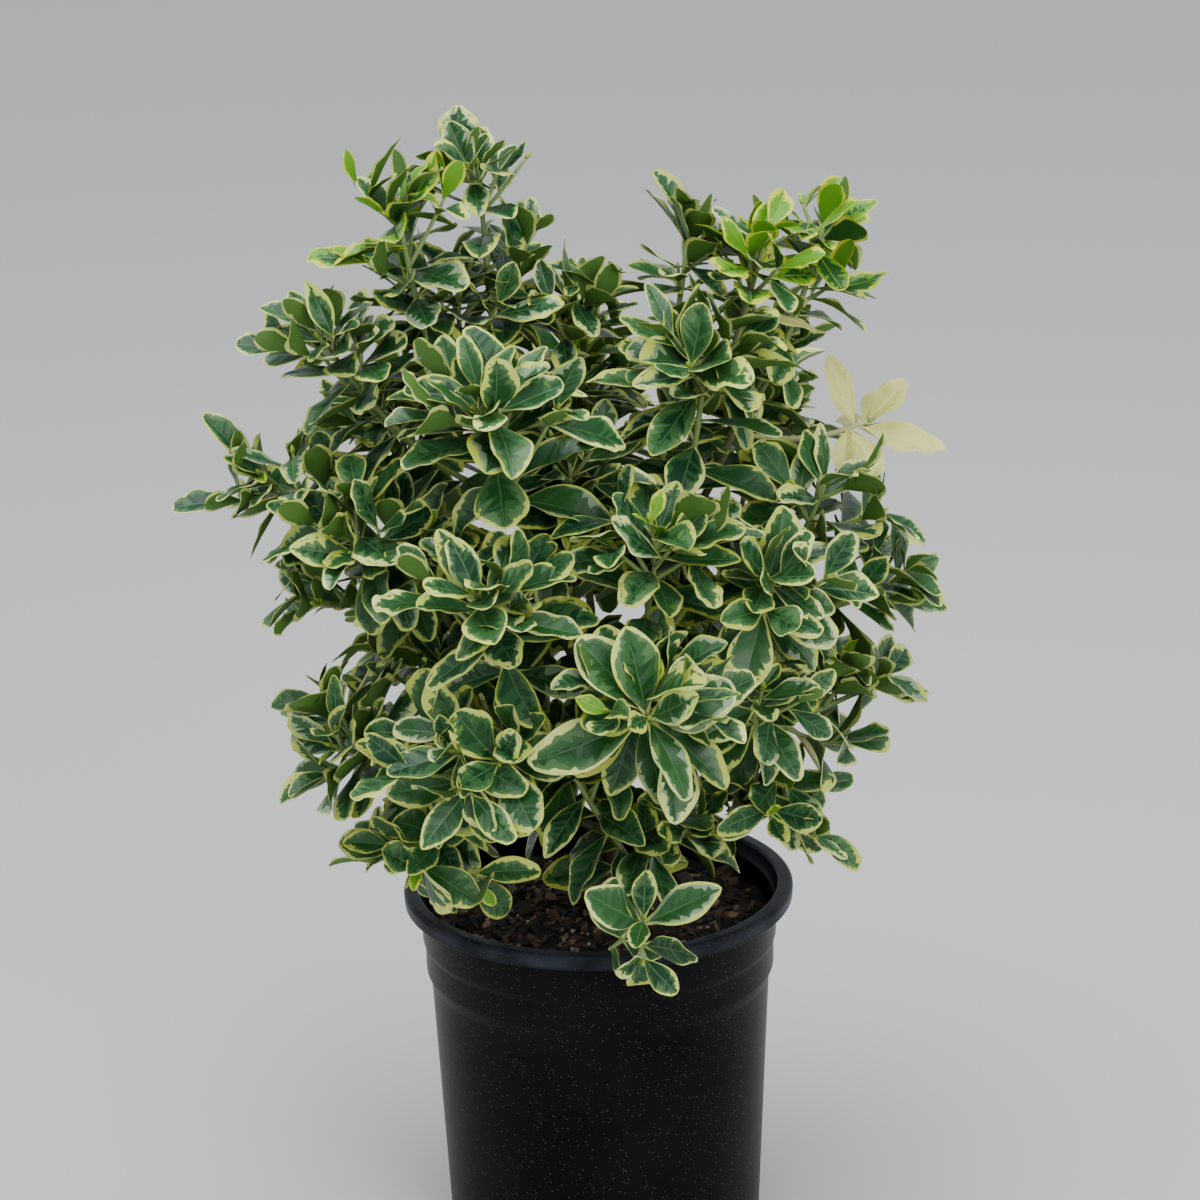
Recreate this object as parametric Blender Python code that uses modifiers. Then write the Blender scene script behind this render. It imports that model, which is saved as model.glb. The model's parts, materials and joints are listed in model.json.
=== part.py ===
"""A silver queen japanese spindle, a variegated evergreen shrub, in its black nursery pot.

Metres, +Z up. The origin is the middle of the pot's flat underside, and -Y is the shrub's front.
"""

import math
from collections import namedtuple

import bmesh
import bpy
import numpy as np
from mathutils import Matrix

# Fit between pieces
GAP = 0.0003

# Pot
RIM_RADIUS = 0.150
POT_HEIGHT = 0.280
POT_WALL = 0.0022
RIM_BAND = 0.0120
RIM_LEDGE = 0.0125
RIM_ROUND = 0.004
RIM_ROUND_DROP = 0.005
RIM_TAPER = 0.0006
RIM_RETURN = 0.0030
LIP_ROUND = 0.003
UNDERCUT = 0.001
NECK_ROUND = 0.001
NECK_ROUND_DROP = 0.003
NECK_RADIUS = 0.1366
NECK_DROP = 0.042
COLLAR_RADIUS = 0.1346
COLLAR_DROP = 0.076
COLLAR_SLOPE = 0.010
COLLAR_STEP = 0.004
WALL_TOP_RADIUS = 0.1308
WALL_BASE_RADIUS = 0.1210
BASE_EDGE = 0.006
BASE_CHAMFER = 0.0036
FLOOR_THICKNESS = 0.003
POT_STEPS = 24
DRAIN_HOLES = 4
DRAIN_RADIUS = 0.0075
DRAIN_HEIGHT = 0.0125
DRAIN_SIDES = 12
DRAIN_CUT_LENGTH = 0.04

# Soil and the blank tag stuck into it
SOIL_TOP = 0.256
SOIL_FLAT_RADIUS = 0.070
SOIL_EDGE_DROP = 0.004
TAG_FOOT = (0.010, 0.036)
TAG_WIDTH = 0.017
TAG_HEIGHT = 0.062
TAG_THICKNESS = 0.0012
TAG_SHOULDER = 0.010
TAG_SHOULDER_WIDTH = 0.006
TAG_TURN = math.radians(24)

# Stems that rise from the soil: route, foot flare, radius above the flare, radius at the fork
Stem = namedtuple("Stem", "name route flare foot_radius tip_radius")
STEMS = (
    Stem(
        "main_stem",
        ((0.003, 0, SOIL_TOP + GAP), (0.006, -0.001, 0.300), (0.016, -0.004, 0.345), (0.018, -0.003, 0.405)),
        0.0105,
        0.0066,
        0.0054,
    ),
    Stem(
        "second_stem",
        ((0.030, 0.007, SOIL_TOP + GAP), (0.029, 0.007, 0.290), (0.038, 0.008, 0.340), (0.058, 0.010, 0.395)),
        0.0064,
        0.0044,
        0.0038,
    ),
)
FLARE_HEIGHT = 0.0056

# Boughs: the limb each grows from, how far up it, where its own tip lies, and its two radii
Bough = namedtuple("Bough", "name parent share tip butt_radius tip_radius")
BOUGHS = (
    Bough("low_front_bough", "main_stem", 0.26, (0.026, -0.050, 0.313), 0.0030, 0.0026),
    Bough("low_left_bough", "main_stem", 0.44, (-0.100, -0.024, 0.374), 0.0036, 0.0028),
    Bough("back_left_bough", "main_stem", 0.54, (-0.074, 0.064, 0.440), 0.0038, 0.0029),
    Bough("front_left_bough", "main_stem", 0.62, (-0.046, -0.088, 0.452), 0.0037, 0.0028),
    Bough("left_bough", "main_stem", 0.78, (-0.112, -0.018, 0.505), 0.0040, 0.0029),
    Bough("front_bough", "main_stem", 0.74, (0.028, -0.084, 0.458), 0.0036, 0.0028),
    Bough("back_bough", "main_stem", 0.86, (-0.004, 0.078, 0.520), 0.0038, 0.0029),
    Bough("centre_leader", "main_stem", 0.93, (-0.014, -0.032, 0.548), 0.0036, 0.0028),
    Bough("left_leader", "main_stem", 1.00, (-0.050, 0.004, 0.585), 0.0042, 0.0034),
    Bough("right_leader", "main_stem", 1.00, (0.062, -0.016, 0.568), 0.0042, 0.0034),
    Bough("top_left_bough", "left_leader", 1.00, (-0.088, 0.008, 0.652), 0.0031, 0.0028),
    Bough("top_right_bough", "right_leader", 1.00, (0.108, 0.014, 0.632), 0.0031, 0.0028),
    Bough("back_right_bough", "second_stem", 0.66, (0.088, 0.074, 0.448), 0.0033, 0.0028),
    Bough("low_right_bough", "second_stem", 0.86, (0.120, -0.024, 0.402), 0.0033, 0.0028),
    Bough("right_bough", "second_stem", 1.00, (0.124, -0.012, 0.492), 0.0035, 0.0028),
)
SIDE_ANGLE = math.radians(58)
CLOSER = {"low_left_bough": 0.0006}  # where the flats of both limbs meet, which lie inside their radii
LIMB_STEPS = 6
LEAVING_HANDLE = 0.30
ARRIVING_HANDLE = 0.35
BOUGH_TIP_RISE = 0.5
SPREAD_ROUNDS = 200
SPREAD_SHARE = 0.3
SAMPLE_STEP = 0.003
ROUND_END = ((0.70, 0.70), (0.97, 0.25))  # how far past a limb's end and how wide, as shares of its radius

# Masses of foliage: the limb that carries each, its egg-shaped space, how it rises and its leaf length
Mass = namedtuple("Mass", "name limb centre radii rise leaf")
MASSES = (
    Mass("top_left_spray", "top_left_bough", (-0.131, -0.018, 0.792), (0.060, 0.060, 0.066), 0.8, 0.054),
    Mass("crown_spray", "top_left_bough", (-0.077, 0.018, 0.808), (0.050, 0.058, 0.070), 0.8, 0.052),
    Mass("upper_left_mass", "top_left_bough", (-0.092, 0.016, 0.720), (0.092, 0.078, 0.066), 0.3, 0.056),
    Mass("left_shoulder_mass", "left_leader", (-0.178, -0.012, 0.696), (0.076, 0.076, 0.064), 0.5, 0.056),
    Mass("far_left_spray", "left_bough", (-0.226, -0.004, 0.596), (0.076, 0.064, 0.058), 0.4, 0.058),
    Mass("left_mass", "left_bough", (-0.160, -0.055, 0.560), (0.086, 0.080, 0.074), 0.3, 0.060),
    Mass("left_drooping_spray", "left_bough", (-0.192, -0.034, 0.524), (0.054, 0.060, 0.046), -0.2, 0.056),
    Mass("upper_middle_mass", "centre_leader", (-0.070, -0.108, 0.664), (0.082, 0.076, 0.070), 0.4, 0.062),
    Mass("middle_spray", "centre_leader", (-0.012, 0.012, 0.708), (0.058, 0.062, 0.074), 0.9, 0.050),
    Mass("centre_mass", "centre_leader", (-0.014, -0.046, 0.606), (0.070, 0.070, 0.064), 0.5, 0.056),
    Mass("front_left_mass", "front_left_bough", (-0.074, -0.162, 0.545), (0.078, 0.070, 0.064), 0.3, 0.060),
    Mass("low_front_mass", "front_left_bough", (-0.086, -0.150, 0.430), (0.088, 0.072, 0.066), -0.1, 0.060),
    Mass("lower_left_mass", "low_left_bough", (-0.172, -0.064, 0.412), (0.070, 0.078, 0.070), 0.0, 0.062),
    Mass("low_left_hanging", "low_left_bough", (-0.130, -0.070, 0.334), (0.082, 0.072, 0.048), -0.5, 0.058),
    Mass("front_centre_mass", "front_bough", (0.036, -0.178, 0.474), (0.072, 0.066, 0.064), 0.3, 0.066),
    Mass("centre_right_mass", "front_bough", (0.046, -0.120, 0.570), (0.072, 0.070, 0.066), 0.5, 0.062),
    Mass("tall_spray", "right_leader", (0.084, -0.058, 0.682), (0.072, 0.070, 0.074), 0.8, 0.060),
    Mass("upper_right_mass", "right_leader", (0.076, 0.026, 0.746), (0.054, 0.062, 0.064), 0.8, 0.056),
    Mass("bright_spray", "top_right_bough", (0.126, -0.004, 0.752), (0.052, 0.054, 0.060), 0.8, 0.054),
    Mass("right_tip_spray", "top_right_bough", (0.172, 0.022, 0.766), (0.052, 0.056, 0.056), 0.8, 0.054),
    Mass("right_shoulder_mass", "top_right_bough", (0.138, 0.034, 0.674), (0.056, 0.066, 0.060), 0.3, 0.056),
    Mass("cream_spray", "top_right_bough", (0.188, 0.014, 0.628), (0.056, 0.052, 0.048), 0.6, 0.052),
    Mass("right_mass", "right_bough", (0.166, -0.034, 0.580), (0.068, 0.070, 0.064), 0.5, 0.058),
    Mass("right_bud_mass", "right_bough", (0.126, -0.100, 0.540), (0.066, 0.068, 0.066), 0.5, 0.056),
    Mass("far_right_mass", "right_bough", (0.210, -0.008, 0.506), (0.058, 0.068, 0.062), 0.4, 0.056),
    Mass("low_right_mass", "low_right_bough", (0.188, -0.018, 0.430), (0.064, 0.072, 0.062), 0.0, 0.060),
    Mass("lower_right_mass", "low_right_bough", (0.118, -0.108, 0.452), (0.062, 0.068, 0.056), 0.3, 0.044),
    Mass("low_right_hanging", "low_right_bough", (0.134, -0.050, 0.360), (0.060, 0.066, 0.054), -0.4, 0.052),
    Mass("foot_mass", "low_front_bough", (0.062, -0.062, 0.342), (0.060, 0.058, 0.050), 0.2, 0.050),
    Mass("front_hanging_mass", "low_front_bough", (0.030, -0.164, 0.306), (0.062, 0.050, 0.066), -0.6, 0.058),
    Mass("heart_mass", "low_front_bough", (-0.018, -0.092, 0.402), (0.060, 0.058, 0.060), 0.6, 0.052),
    Mass("low_inner_left_mass", "low_left_bough", (-0.108, -0.034, 0.446), (0.064, 0.062, 0.060), 0.7, 0.056),
    Mass("inner_right_mass", "back_right_bough", (0.040, 0.036, 0.524), (0.062, 0.060, 0.066), 0.6, 0.056),
    Mass("inner_left_mass", "back_left_bough", (-0.070, 0.014, 0.494), (0.064, 0.062, 0.062), 0.6, 0.054),
    Mass("back_top_mass", "back_bough", (-0.006, 0.104, 0.640), (0.086, 0.074, 0.068), 0.6, 0.058),
    Mass("back_middle_mass", "back_bough", (-0.004, 0.166, 0.566), (0.082, 0.072, 0.080), 0.3, 0.060),
    Mass("back_left_mass", "back_left_bough", (-0.142, 0.098, 0.600), (0.084, 0.078, 0.080), 0.5, 0.060),
    Mass("back_low_left_mass", "back_left_bough", (-0.124, 0.124, 0.436), (0.084, 0.080, 0.076), 0.0, 0.060),
    Mass("back_right_mass", "back_right_bough", (0.132, 0.122, 0.600), (0.082, 0.078, 0.080), 0.5, 0.060),
    Mass("back_low_right_mass", "back_right_bough", (0.118, 0.132, 0.430), (0.084, 0.078, 0.076), 0.0, 0.060),
)
FOLIAGE_SEED = 100

# A mass's twigs: the leader that runs into it from its limb, and the shoots that branch from the leader
LEADER_RADII = (0.0018, 0.0025, 0.0022, 0.0018)
LEADER_REACH = 0.42
LEADER_TRIES = 12
LEADER_BEND = 0.006
SHOOT_RADII = (0.0008, 0.0017, 0.0013)
SHOOT_REACH = 0.56
SHOOT_LIFT = 0.30
SHOOT_ANGLE = math.radians(45)
SHOOT_SPAN = (0.25, 0.85)
SHOOT_STARTS = 9
SHOOT_ALONG = 0.5
SHOOT_RISE = 0.7
SHOOT_FREE_FROM = 3
SHOOTS_IN_FULL_MASS = 3.4
LEAST_SHOOTS = 3
FULL_MASS_RADIUS = 0.070
BACKWARD = 0.25
GOLDEN_ANGLE = math.pi * (3 - math.sqrt(5))

# Leaves: how far down a shoot each pair stands, its angle to the shoot, its droop and its relative length
LEADER_NODES = 3
SHOOT_NODES = 2
LEAF_NODES = (0.004, 0.018, 0.034)
LEAF_POLAR = (math.radians(38), math.radians(58), math.radians(74))
LEAF_DROOP = (0.02, 0.12, 0.28)
LEAF_SIZE = (0.98, 1.12, 1.08)
LEAF_WIDTH = 0.70
LEAF_WIDEST = 0.58
LEAF_THICKNESS = 0.024
LEAF_FOOT = 0.2
LEAF_SPOTS = 7
LEAF_TRIES = 14
LEAST_SHARE = 0.15
LENGTH_SPREAD = (0.94, 1.08)
SHORTER_BY_TRY = 0.03
TURN_SPREAD = 0.08
TURN_SPREAD_BY_TRY = 0.06
POLAR_SPREAD = 0.10
CROWN_RADIUS = 0.22
LIGHT_FROM_ABOVE = 0.50
LIGHT_FROM_SIDE = 0.40

# How far leaves reach past a mass's own space, and the room that twigs and leaves keep to the next one's, as
# shares of the space, and the room to limbs, in metres
LEAF_SPACE = 1.22
LEAF_MARGIN = 0.06
TWIG_MARGIN = 0.13
CLEAR = 0.0016
UP = np.array((0.0, 0.0, 1.0))
CENTRES = np.array([m.centre for m in MASSES])
RADII = np.array([m.radii for m in MASSES])

# Colours, as linear RGB
BLACK_PLASTIC = (0.012, 0.013, 0.016)
POTTING_MIX = (0.020, 0.014, 0.010)
TAG_GREY = (0.52, 0.52, 0.58)
OLD_BARK = (0.16, 0.12, 0.085)
GREEN_BARK = (0.16, 0.20, 0.07)
LEAF_GREEN = (0.055, 0.16, 0.060)
LEAF_CREAM = (0.62, 0.62, 0.26)


def unit(vector):
    return vector / np.linalg.norm(vector)


def bezier(start, first, second, end, count):
    t = np.linspace(0, 1, count)[:, None]
    return start * (1 - t) ** 3 + 3 * first * t * (1 - t) ** 2 + 3 * second * t**2 * (1 - t) + end * t**3


def curved_route(start, leaving, tip, arriving, count, bend=0):
    """Points of a limb that leaves its start in one direction and comes to its tip in another."""
    reach = np.linalg.norm(tip - start)
    first = start + leaving * reach * LEAVING_HANDLE
    second = tip - arriving * reach * ARRIVING_HANDLE + bend
    return bezier(start, first, second, tip, count)


# Limbs


def along(limb, share):
    """The point, direction and radius at a share of a limb's length."""
    points, radii = limb
    steps = np.linalg.norm(np.diff(points, axis=0), axis=1)
    run = np.concatenate([[0], np.cumsum(steps)]) / steps.sum()
    at = np.array([np.interp(share, run, points[:, i]) for i in range(3)])
    segment = min(np.searchsorted(run, share, side="right"), len(points) - 1)
    return at, unit(points[segment] - points[segment - 1]), np.interp(share, run, radii)


def spread_apart(directions, least):
    """Turns directions away from each other until every pair is at least this angle apart."""
    directions = [unit(d) for d in directions]
    for _ in range(SPREAD_ROUNDS):
        for i in range(len(directions)):
            for j in range(i):
                a, b = directions[i], directions[j]
                angle = math.acos(np.clip(a @ b, -1, 1))
                if angle < least:
                    push = unit(a - b) * (least - angle) * SPREAD_SHARE
                    directions[i] = unit(a + push)
                    directions[j] = unit(b - push)
    return directions


def side_start(limb, bough):
    """Where a limb's side carries a bough, and the direction in which that one sets off."""
    at, direction, limb_radius = along(limb, bough.share)
    outward = np.array(bough.tip) - at
    outward = unit(outward - (outward @ direction) * direction)
    leaving = outward * math.sin(SIDE_ANGLE) + direction * math.cos(SIDE_ANGLE)
    off = limb_radius + GAP + bough.butt_radius * math.cos(SIDE_ANGLE) - CLOSER.get(bough.name, 0)
    return at + outward * off, leaving


def stem_route(stem):
    """A stem's points and radii, from the flat cut at the soil up to its fork, with a flare at its foot."""
    points = bezier(*(np.array(p) for p in stem.route), LIMB_STEPS)
    flare_top = points[0] + UP * FLARE_HEIGHT
    points = np.vstack([points[:1], flare_top, points[1:]])
    radii = np.linspace(stem.foot_radius, stem.tip_radius, len(points))
    radii[0] = stem.flare
    radii[1] = (stem.flare + stem.foot_radius) / 2
    return points, radii


def bough_route(bough, start, leaving):
    """A bough's points and radii: it tapers evenly and turns up towards its tip."""
    tip = np.array(bough.tip)
    arriving = unit(unit(tip - start) + BOUGH_TIP_RISE * UP)
    points = curved_route(start, leaving, tip, arriving, LIMB_STEPS)
    return points, np.linspace(bough.butt_radius, bough.tip_radius, LIMB_STEPS)


def limb_routes():
    """Every stem and bough as its points and radii, and where and which way each mass's leader sets off."""
    limbs = {stem.name: stem_route(stem) for stem in STEMS}
    leaders = {}
    waiting = {name: [] for name in limbs}
    for bough in BOUGHS:
        waiting[bough.name] = []
    for bough in BOUGHS:
        if bough.share == 1.0:
            waiting[bough.parent].append(bough)
    for mass in MASSES:
        waiting[mass.limb].append(mass)
    for name in list(waiting):
        if name not in limbs:
            bough = next(b for b in BOUGHS if b.name == name)
            limbs[name] = bough_route(bough, *side_start(limbs[bough.parent], bough))
        end, _, radius = along(limbs[name], 1.0)
        carried = waiting[name]
        targets = [np.array(c.tip if isinstance(c, Bough) else c.centre) - end for c in carried]
        widest = max([c.butt_radius if isinstance(c, Bough) else LEADER_RADII[0] for c in carried], default=0)
        least = 2 * math.atan((widest + GAP) / (radius + GAP))
        for child, leaving in zip(carried, spread_apart(targets, least)):
            start = end + leaving * (radius + GAP)
            if isinstance(child, Bough):
                limbs[child.name] = bough_route(child, start, leaving)
            else:
                leaders[child.name] = (start, leaving)
    return limbs, leaders


# Foliage


def leader_route(mass, start, leaving, bend):
    """The stem of a mass, from its limb into the middle of its space and on towards its far side."""
    centre = np.array(mass.centre)
    lean = unit(unit(centre - start) + mass.rise * UP)
    tip = centre + lean * np.array(mass.radii) * LEADER_REACH
    return curved_route(start, leaving, tip, lean, len(LEADER_RADII), bend), np.array(LEADER_RADII)


def leader_routes(limbs, starts):
    """The leaders of all masses, each bent until it passes clear of the limbs and the leaders before it."""
    done = dict(limbs)
    for index, mass in enumerate(MASSES):
        rng = np.random.default_rng(index)
        start, leaving = starts[mass.name]
        others = obstacles_of(done.values())
        for attempt in range(LEADER_TRIES):
            route = leader_route(mass, start, leaving, rng.normal(0, LEADER_BEND * attempt, 3))
            spots, radii = samples(*route)
            if clear_of_limbs(spots[2:], others, radii.max() + CLEAR):
                break
        done[mass.name] = route
    return {mass.name: done[mass.name] for mass in MASSES}


def own_share(points, index):
    """How deep points lie in a mass's own space, as its own distance and the nearest other one."""
    far = (((points[:, None, :] - CENTRES) / RADII) ** 2).sum(axis=2)
    others = np.delete(far, index, axis=1).min(axis=1)
    return far[:, index], others


def in_space(points, index, margin, reach=1.0):
    """Whether points lie inside a mass's space and nearer to its middle than to any other mass's."""
    own, others = own_share(points, index)
    return bool((own <= reach).all() and (own + margin <= others).all())


def clear_of_pot(points):
    """Whether points lie over the rim, outside it, or over the soil inside it."""
    out = np.hypot(points[:, 0], points[:, 1])
    over_rim = points[:, 2] > POT_HEIGHT + CLEAR
    outside = out > RIM_RADIUS + CLEAR
    inside = (out < COLLAR_RADIUS - POT_WALL - CLEAR) & (points[:, 2] > SOIL_TOP + CLEAR)
    return bool((over_rim | outside | inside).all())


def samples(points, radii):
    """Points every few millimetres along a limb, each with its radius."""
    length = np.linalg.norm(np.diff(points, axis=0), axis=1).sum()
    shares = np.linspace(0, 1, max(2, int(length / SAMPLE_STEP)))
    run = np.concatenate([[0], np.cumsum(np.linalg.norm(np.diff(points, axis=0), axis=1))]) / length
    dense = np.stack([np.interp(shares, run, points[:, i]) for i in range(3)], axis=1)
    return dense, np.interp(shares, run, radii)


def twig_edges(limb):
    points, _ = limb
    return np.stack([points[:-1], points[1:]], axis=1)


Obstacles = namedtuple("Obstacles", "points radii edges")


def obstacles_of(limbs):
    """Limbs as points close together with their radii, and as the straight lines along their middles."""
    limbs = list(limbs)
    points, radii = zip(*(samples(*limb) for limb in limbs))
    edges = [twig_edges(limb) for limb in limbs]
    return Obstacles(np.concatenate(points), np.concatenate(radii), np.concatenate(edges))


def clear_of_limbs(points, obstacles, extra):
    apart = np.linalg.norm(points[:, None, :] - obstacles.points[None], axis=2)
    return bool((apart > obstacles.radii + extra).all())


def crosses(segments, triangles):
    """Whether any of these segments runs through any of these triangles."""
    if len(triangles) == 0:
        return False
    start, way = segments[:, None, 0], segments[:, None, 1] - segments[:, None, 0]
    corner = triangles[None, :, 0]
    side_a, side_b = triangles[None, :, 1] - corner, triangles[None, :, 2] - corner
    across = np.cross(way, side_b)
    turn = (side_a * across).sum(axis=2)
    turn = np.where(np.abs(turn) < 1e-15, 1e-15, turn)
    to_start = start - corner
    u = (to_start * across).sum(axis=2) / turn
    over = np.cross(to_start, side_a)
    v = (way * over).sum(axis=2) / turn
    t = (side_b * over).sum(axis=2) / turn
    return bool(((u >= 0) & (v >= 0) & (u + v <= 1) & (t >= 0) & (t <= 1)).any())


Leaf = namedtuple("Leaf", "root direction normal length")


def leaf_corners(leaf):
    """Base, left, tip and right of a leaf's blade, and its middle where it is widest."""
    side = np.cross(leaf.direction, leaf.normal)
    middle = leaf.root + (leaf.direction * LEAF_WIDEST + leaf.normal * LEAF_THICKNESS) * leaf.length
    half = side * leaf.length * LEAF_WIDTH / 2
    return leaf.root, middle - half, leaf.root + leaf.direction * leaf.length, middle + half, middle


def leaf_tests(leaf):
    """Points, edges and triangles of a leaf, for the tests of what it would touch."""
    base, left, tip, right, middle = leaf_corners(leaf)
    near = base + (middle - base) * LEAF_FOOT
    outline = ((near, left), (left, tip), (tip, right), (right, near))
    edges = np.array(outline + ((near, tip), (left, right)))
    triangles = np.array([(a, b, middle) for a, b in outline])
    spots = [a + (b - a) * share for a, b in edges for share in np.linspace(0, 1, LEAF_SPOTS)]
    return np.array(spots), edges, triangles


def leaf_at(rng, at, axis, turn, node, length):
    """A leaf set off from a shoot, its upper face to the shoot's tip, to the light and out of the crown."""
    helper = UP if abs(axis[2]) < 0.9 else np.array((1.0, 0.0, 0.0))
    first = unit(np.cross(axis, helper))
    second = np.cross(axis, first)
    outward = first * math.cos(turn) + second * math.sin(turn)
    polar = LEAF_POLAR[node] + rng.normal(0, POLAR_SPREAD)
    direction = unit(axis * math.cos(polar) + outward * math.sin(polar) - LEAF_DROOP[node] * UP)
    out = np.array((at[0], at[1], 0.0)) / CROWN_RADIUS
    own = axis * math.sin(polar) - outward * math.cos(polar)
    normal = own + LIGHT_FROM_ABOVE * UP + LIGHT_FROM_SIDE * out
    normal = unit(normal - (normal @ direction) * direction)
    return Leaf(at, direction, normal, length)


def shoot_leaves(rng, shoot, nodes, index, mass, obstacles, grown):
    """Pairs of leaves down a shoot, each pair crosswise to the last, where there is room for them."""
    points, radii = shoot
    length = np.linalg.norm(np.diff(points, axis=0), axis=1).sum()
    turn = rng.uniform(0, math.pi)
    leaves = []
    for node in range(nodes):
        share = 1 - LEAF_NODES[node] / length
        if share < LEAST_SHARE:
            break
        at, axis, _ = along((points, radii), share)
        for side in range(2):
            wanted = turn + node * math.pi / 2 + side * math.pi
            for attempt in range(LEAF_TRIES):
                swing = rng.normal(0, TURN_SPREAD + TURN_SPREAD_BY_TRY * attempt)
                size = LEAF_SIZE[node] * rng.uniform(*LENGTH_SPREAD) * (1 - SHORTER_BY_TRY * attempt)
                leaf = leaf_at(rng, at, axis, wanted + swing, node, mass.leaf * size)
                spots, edges, triangles = leaf_tests(leaf)
                if not in_space(spots, index, LEAF_MARGIN, LEAF_SPACE) or not clear_of_pot(spots):
                    continue
                if not clear_of_limbs(spots, obstacles, CLEAR):
                    continue
                if crosses(edges, grown["leaf_faces"]) or crosses(grown["leaf_edges"], triangles):
                    continue
                if crosses(grown["twig_edges"], triangles) or crosses(obstacles.edges, triangles):
                    continue
                leaves.append(leaf)
                grown["leaf_faces"] = np.concatenate([grown["leaf_faces"], triangles])
                grown["leaf_edges"] = np.concatenate([grown["leaf_edges"], edges])
                break
    return leaves


def shoot_route(leader, target):
    """A side shoot: it leaves the leader where its slant is most natural, and turns up to the light."""
    best = None
    for share in np.linspace(*SHOOT_SPAN, SHOOT_STARTS):
        at, axis, _ = along(leader, share)
        miss = abs(math.acos(np.clip(unit(target - at) @ axis, -1, 1)) - SHOOT_ANGLE)
        if best is None or miss < best[0]:
            best = (miss, at, axis)
    _, at, axis = best
    way = unit(target - at)
    leaving, arriving = unit(way + SHOOT_ALONG * axis), unit(way + SHOOT_RISE * UP)
    return curved_route(at, leaving, target, arriving, len(SHOOT_RADII)), np.array(SHOOT_RADII)


def spread_directions(count, spin):
    """Directions spread evenly over a ball, from its top down."""
    for k in range(count):
        height = 1 - 2 * (k + 0.5) / count
        flat = math.sqrt(1 - height * height)
        turn = GOLDEN_ANGLE * k + spin
        yield np.array((flat * math.cos(turn), flat * math.sin(turn), height))


def grow_mass(index, leader, obstacles):
    """The shoots and leaves of one mass, by a rule whose seed is the mass's own number."""
    mass = MASSES[index]
    rng = np.random.default_rng(FOLIAGE_SEED + index)
    centre, radii = np.array(mass.centre), np.array(mass.radii)
    back = unit(leader[0][0] - centre)
    size = (radii.prod() ** (1 / 3) / FULL_MASS_RADIUS) ** 2
    count = max(LEAST_SHOOTS, round(SHOOTS_IN_FULL_MASS * size))
    shoots = []
    for way in spread_directions(2 * count, rng.uniform(0, 2 * math.pi)):
        way = unit(way + SHOOT_LIFT * UP)
        if way @ back > BACKWARD or len(shoots) >= count:
            continue
        shoot = shoot_route(leader, centre + way * radii * SHOOT_REACH)
        dense, _ = samples(*shoot)
        free = dense[len(dense) // SHOOT_FREE_FROM :]
        if not in_space(free, index, TWIG_MARGIN) or not clear_of_pot(dense):
            continue
        if clear_of_limbs(dense, obstacles, max(SHOOT_RADII) + CLEAR):
            shoots.append(shoot)
    grown = {
        "leaf_faces": np.empty((0, 3, 3)),
        "leaf_edges": np.empty((0, 2, 3)),
        "twig_edges": np.concatenate([twig_edges(s) for s in [leader] + shoots]),
    }
    leaves = []
    for shoot in [leader] + shoots:
        nodes = LEADER_NODES if shoot is leader else SHOOT_NODES
        leaves += shoot_leaves(rng, shoot, nodes, index, mass, obstacles, grown)
    return shoots, leaves


def grow_crown(limbs, starts):
    """Every mass's leader, shoots and leaves, each kept to its own space and clear of all other limbs."""
    leaders = leader_routes(limbs, starts)
    routes = {**limbs, **leaders}
    crown = {}
    for index, mass in enumerate(MASSES):
        others = obstacles_of(route for name, route in routes.items() if name != mass.name)
        shoots, leaves = grow_mass(index, leaders[mass.name], others)
        crown[mass.name] = (leaders[mass.name], shoots, leaves)
    return crown


# Blender objects


def clear_scene():
    for obj in list(bpy.data.objects):
        bpy.data.objects.remove(obj)


def new_collection(name):
    collection = bpy.data.collections.new(name)
    bpy.context.scene.collection.children.link(collection)
    return collection


def material(name, colour, roughness):
    made = bpy.data.materials.new(name)
    made.use_nodes = True
    shader = made.node_tree.nodes["Principled BSDF"]
    shader.inputs["Base Color"].default_value = (*colour, 1)
    shader.inputs["Roughness"].default_value = roughness
    shader.inputs["Metallic"].default_value = 0
    return made


def mesh_object(name, mesh, collection, surface=None):
    obj = bpy.data.objects.new(name, mesh)
    if surface:
        mesh.materials.append(surface)
    collection.objects.link(obj)
    return obj


def applied(obj):
    """Replaces an object's mesh by what its modifiers make of it."""
    bpy.context.view_layer.update()
    graph = bpy.context.evaluated_depsgraph_get()
    mesh = bpy.data.meshes.new_from_object(obj.evaluated_get(graph))
    obj.modifiers.clear()
    obj.data = mesh


def smooth(mesh, degrees=35):
    mesh.shade_smooth()
    mesh.set_sharp_from_angle(angle=math.radians(degrees))


def turned(name, profile, steps, collection, surface):
    """A profile in the XZ plane, from the axis down its outer side and back, turned round Z."""
    mesh = bpy.data.meshes.new(name)
    mesh.from_pydata([(r, 0, z) for r, z in profile], [(i, i + 1) for i in range(len(profile) - 1)], [])
    obj = mesh_object(name, mesh, collection, surface)
    screw = obj.modifiers.new("turn", "SCREW")
    screw.steps = steps
    screw.render_steps = steps
    screw.use_merge_vertices = True
    screw.merge_threshold = 0.0001
    applied(obj)
    smooth(obj.data)
    return obj


def wall_radius(height):
    """The pot wall's outer radius at a height under the collar."""
    share = height / (POT_HEIGHT - COLLAR_DROP)
    return WALL_BASE_RADIUS + (WALL_TOP_RADIUS - WALL_BASE_RADIUS) * share


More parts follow.
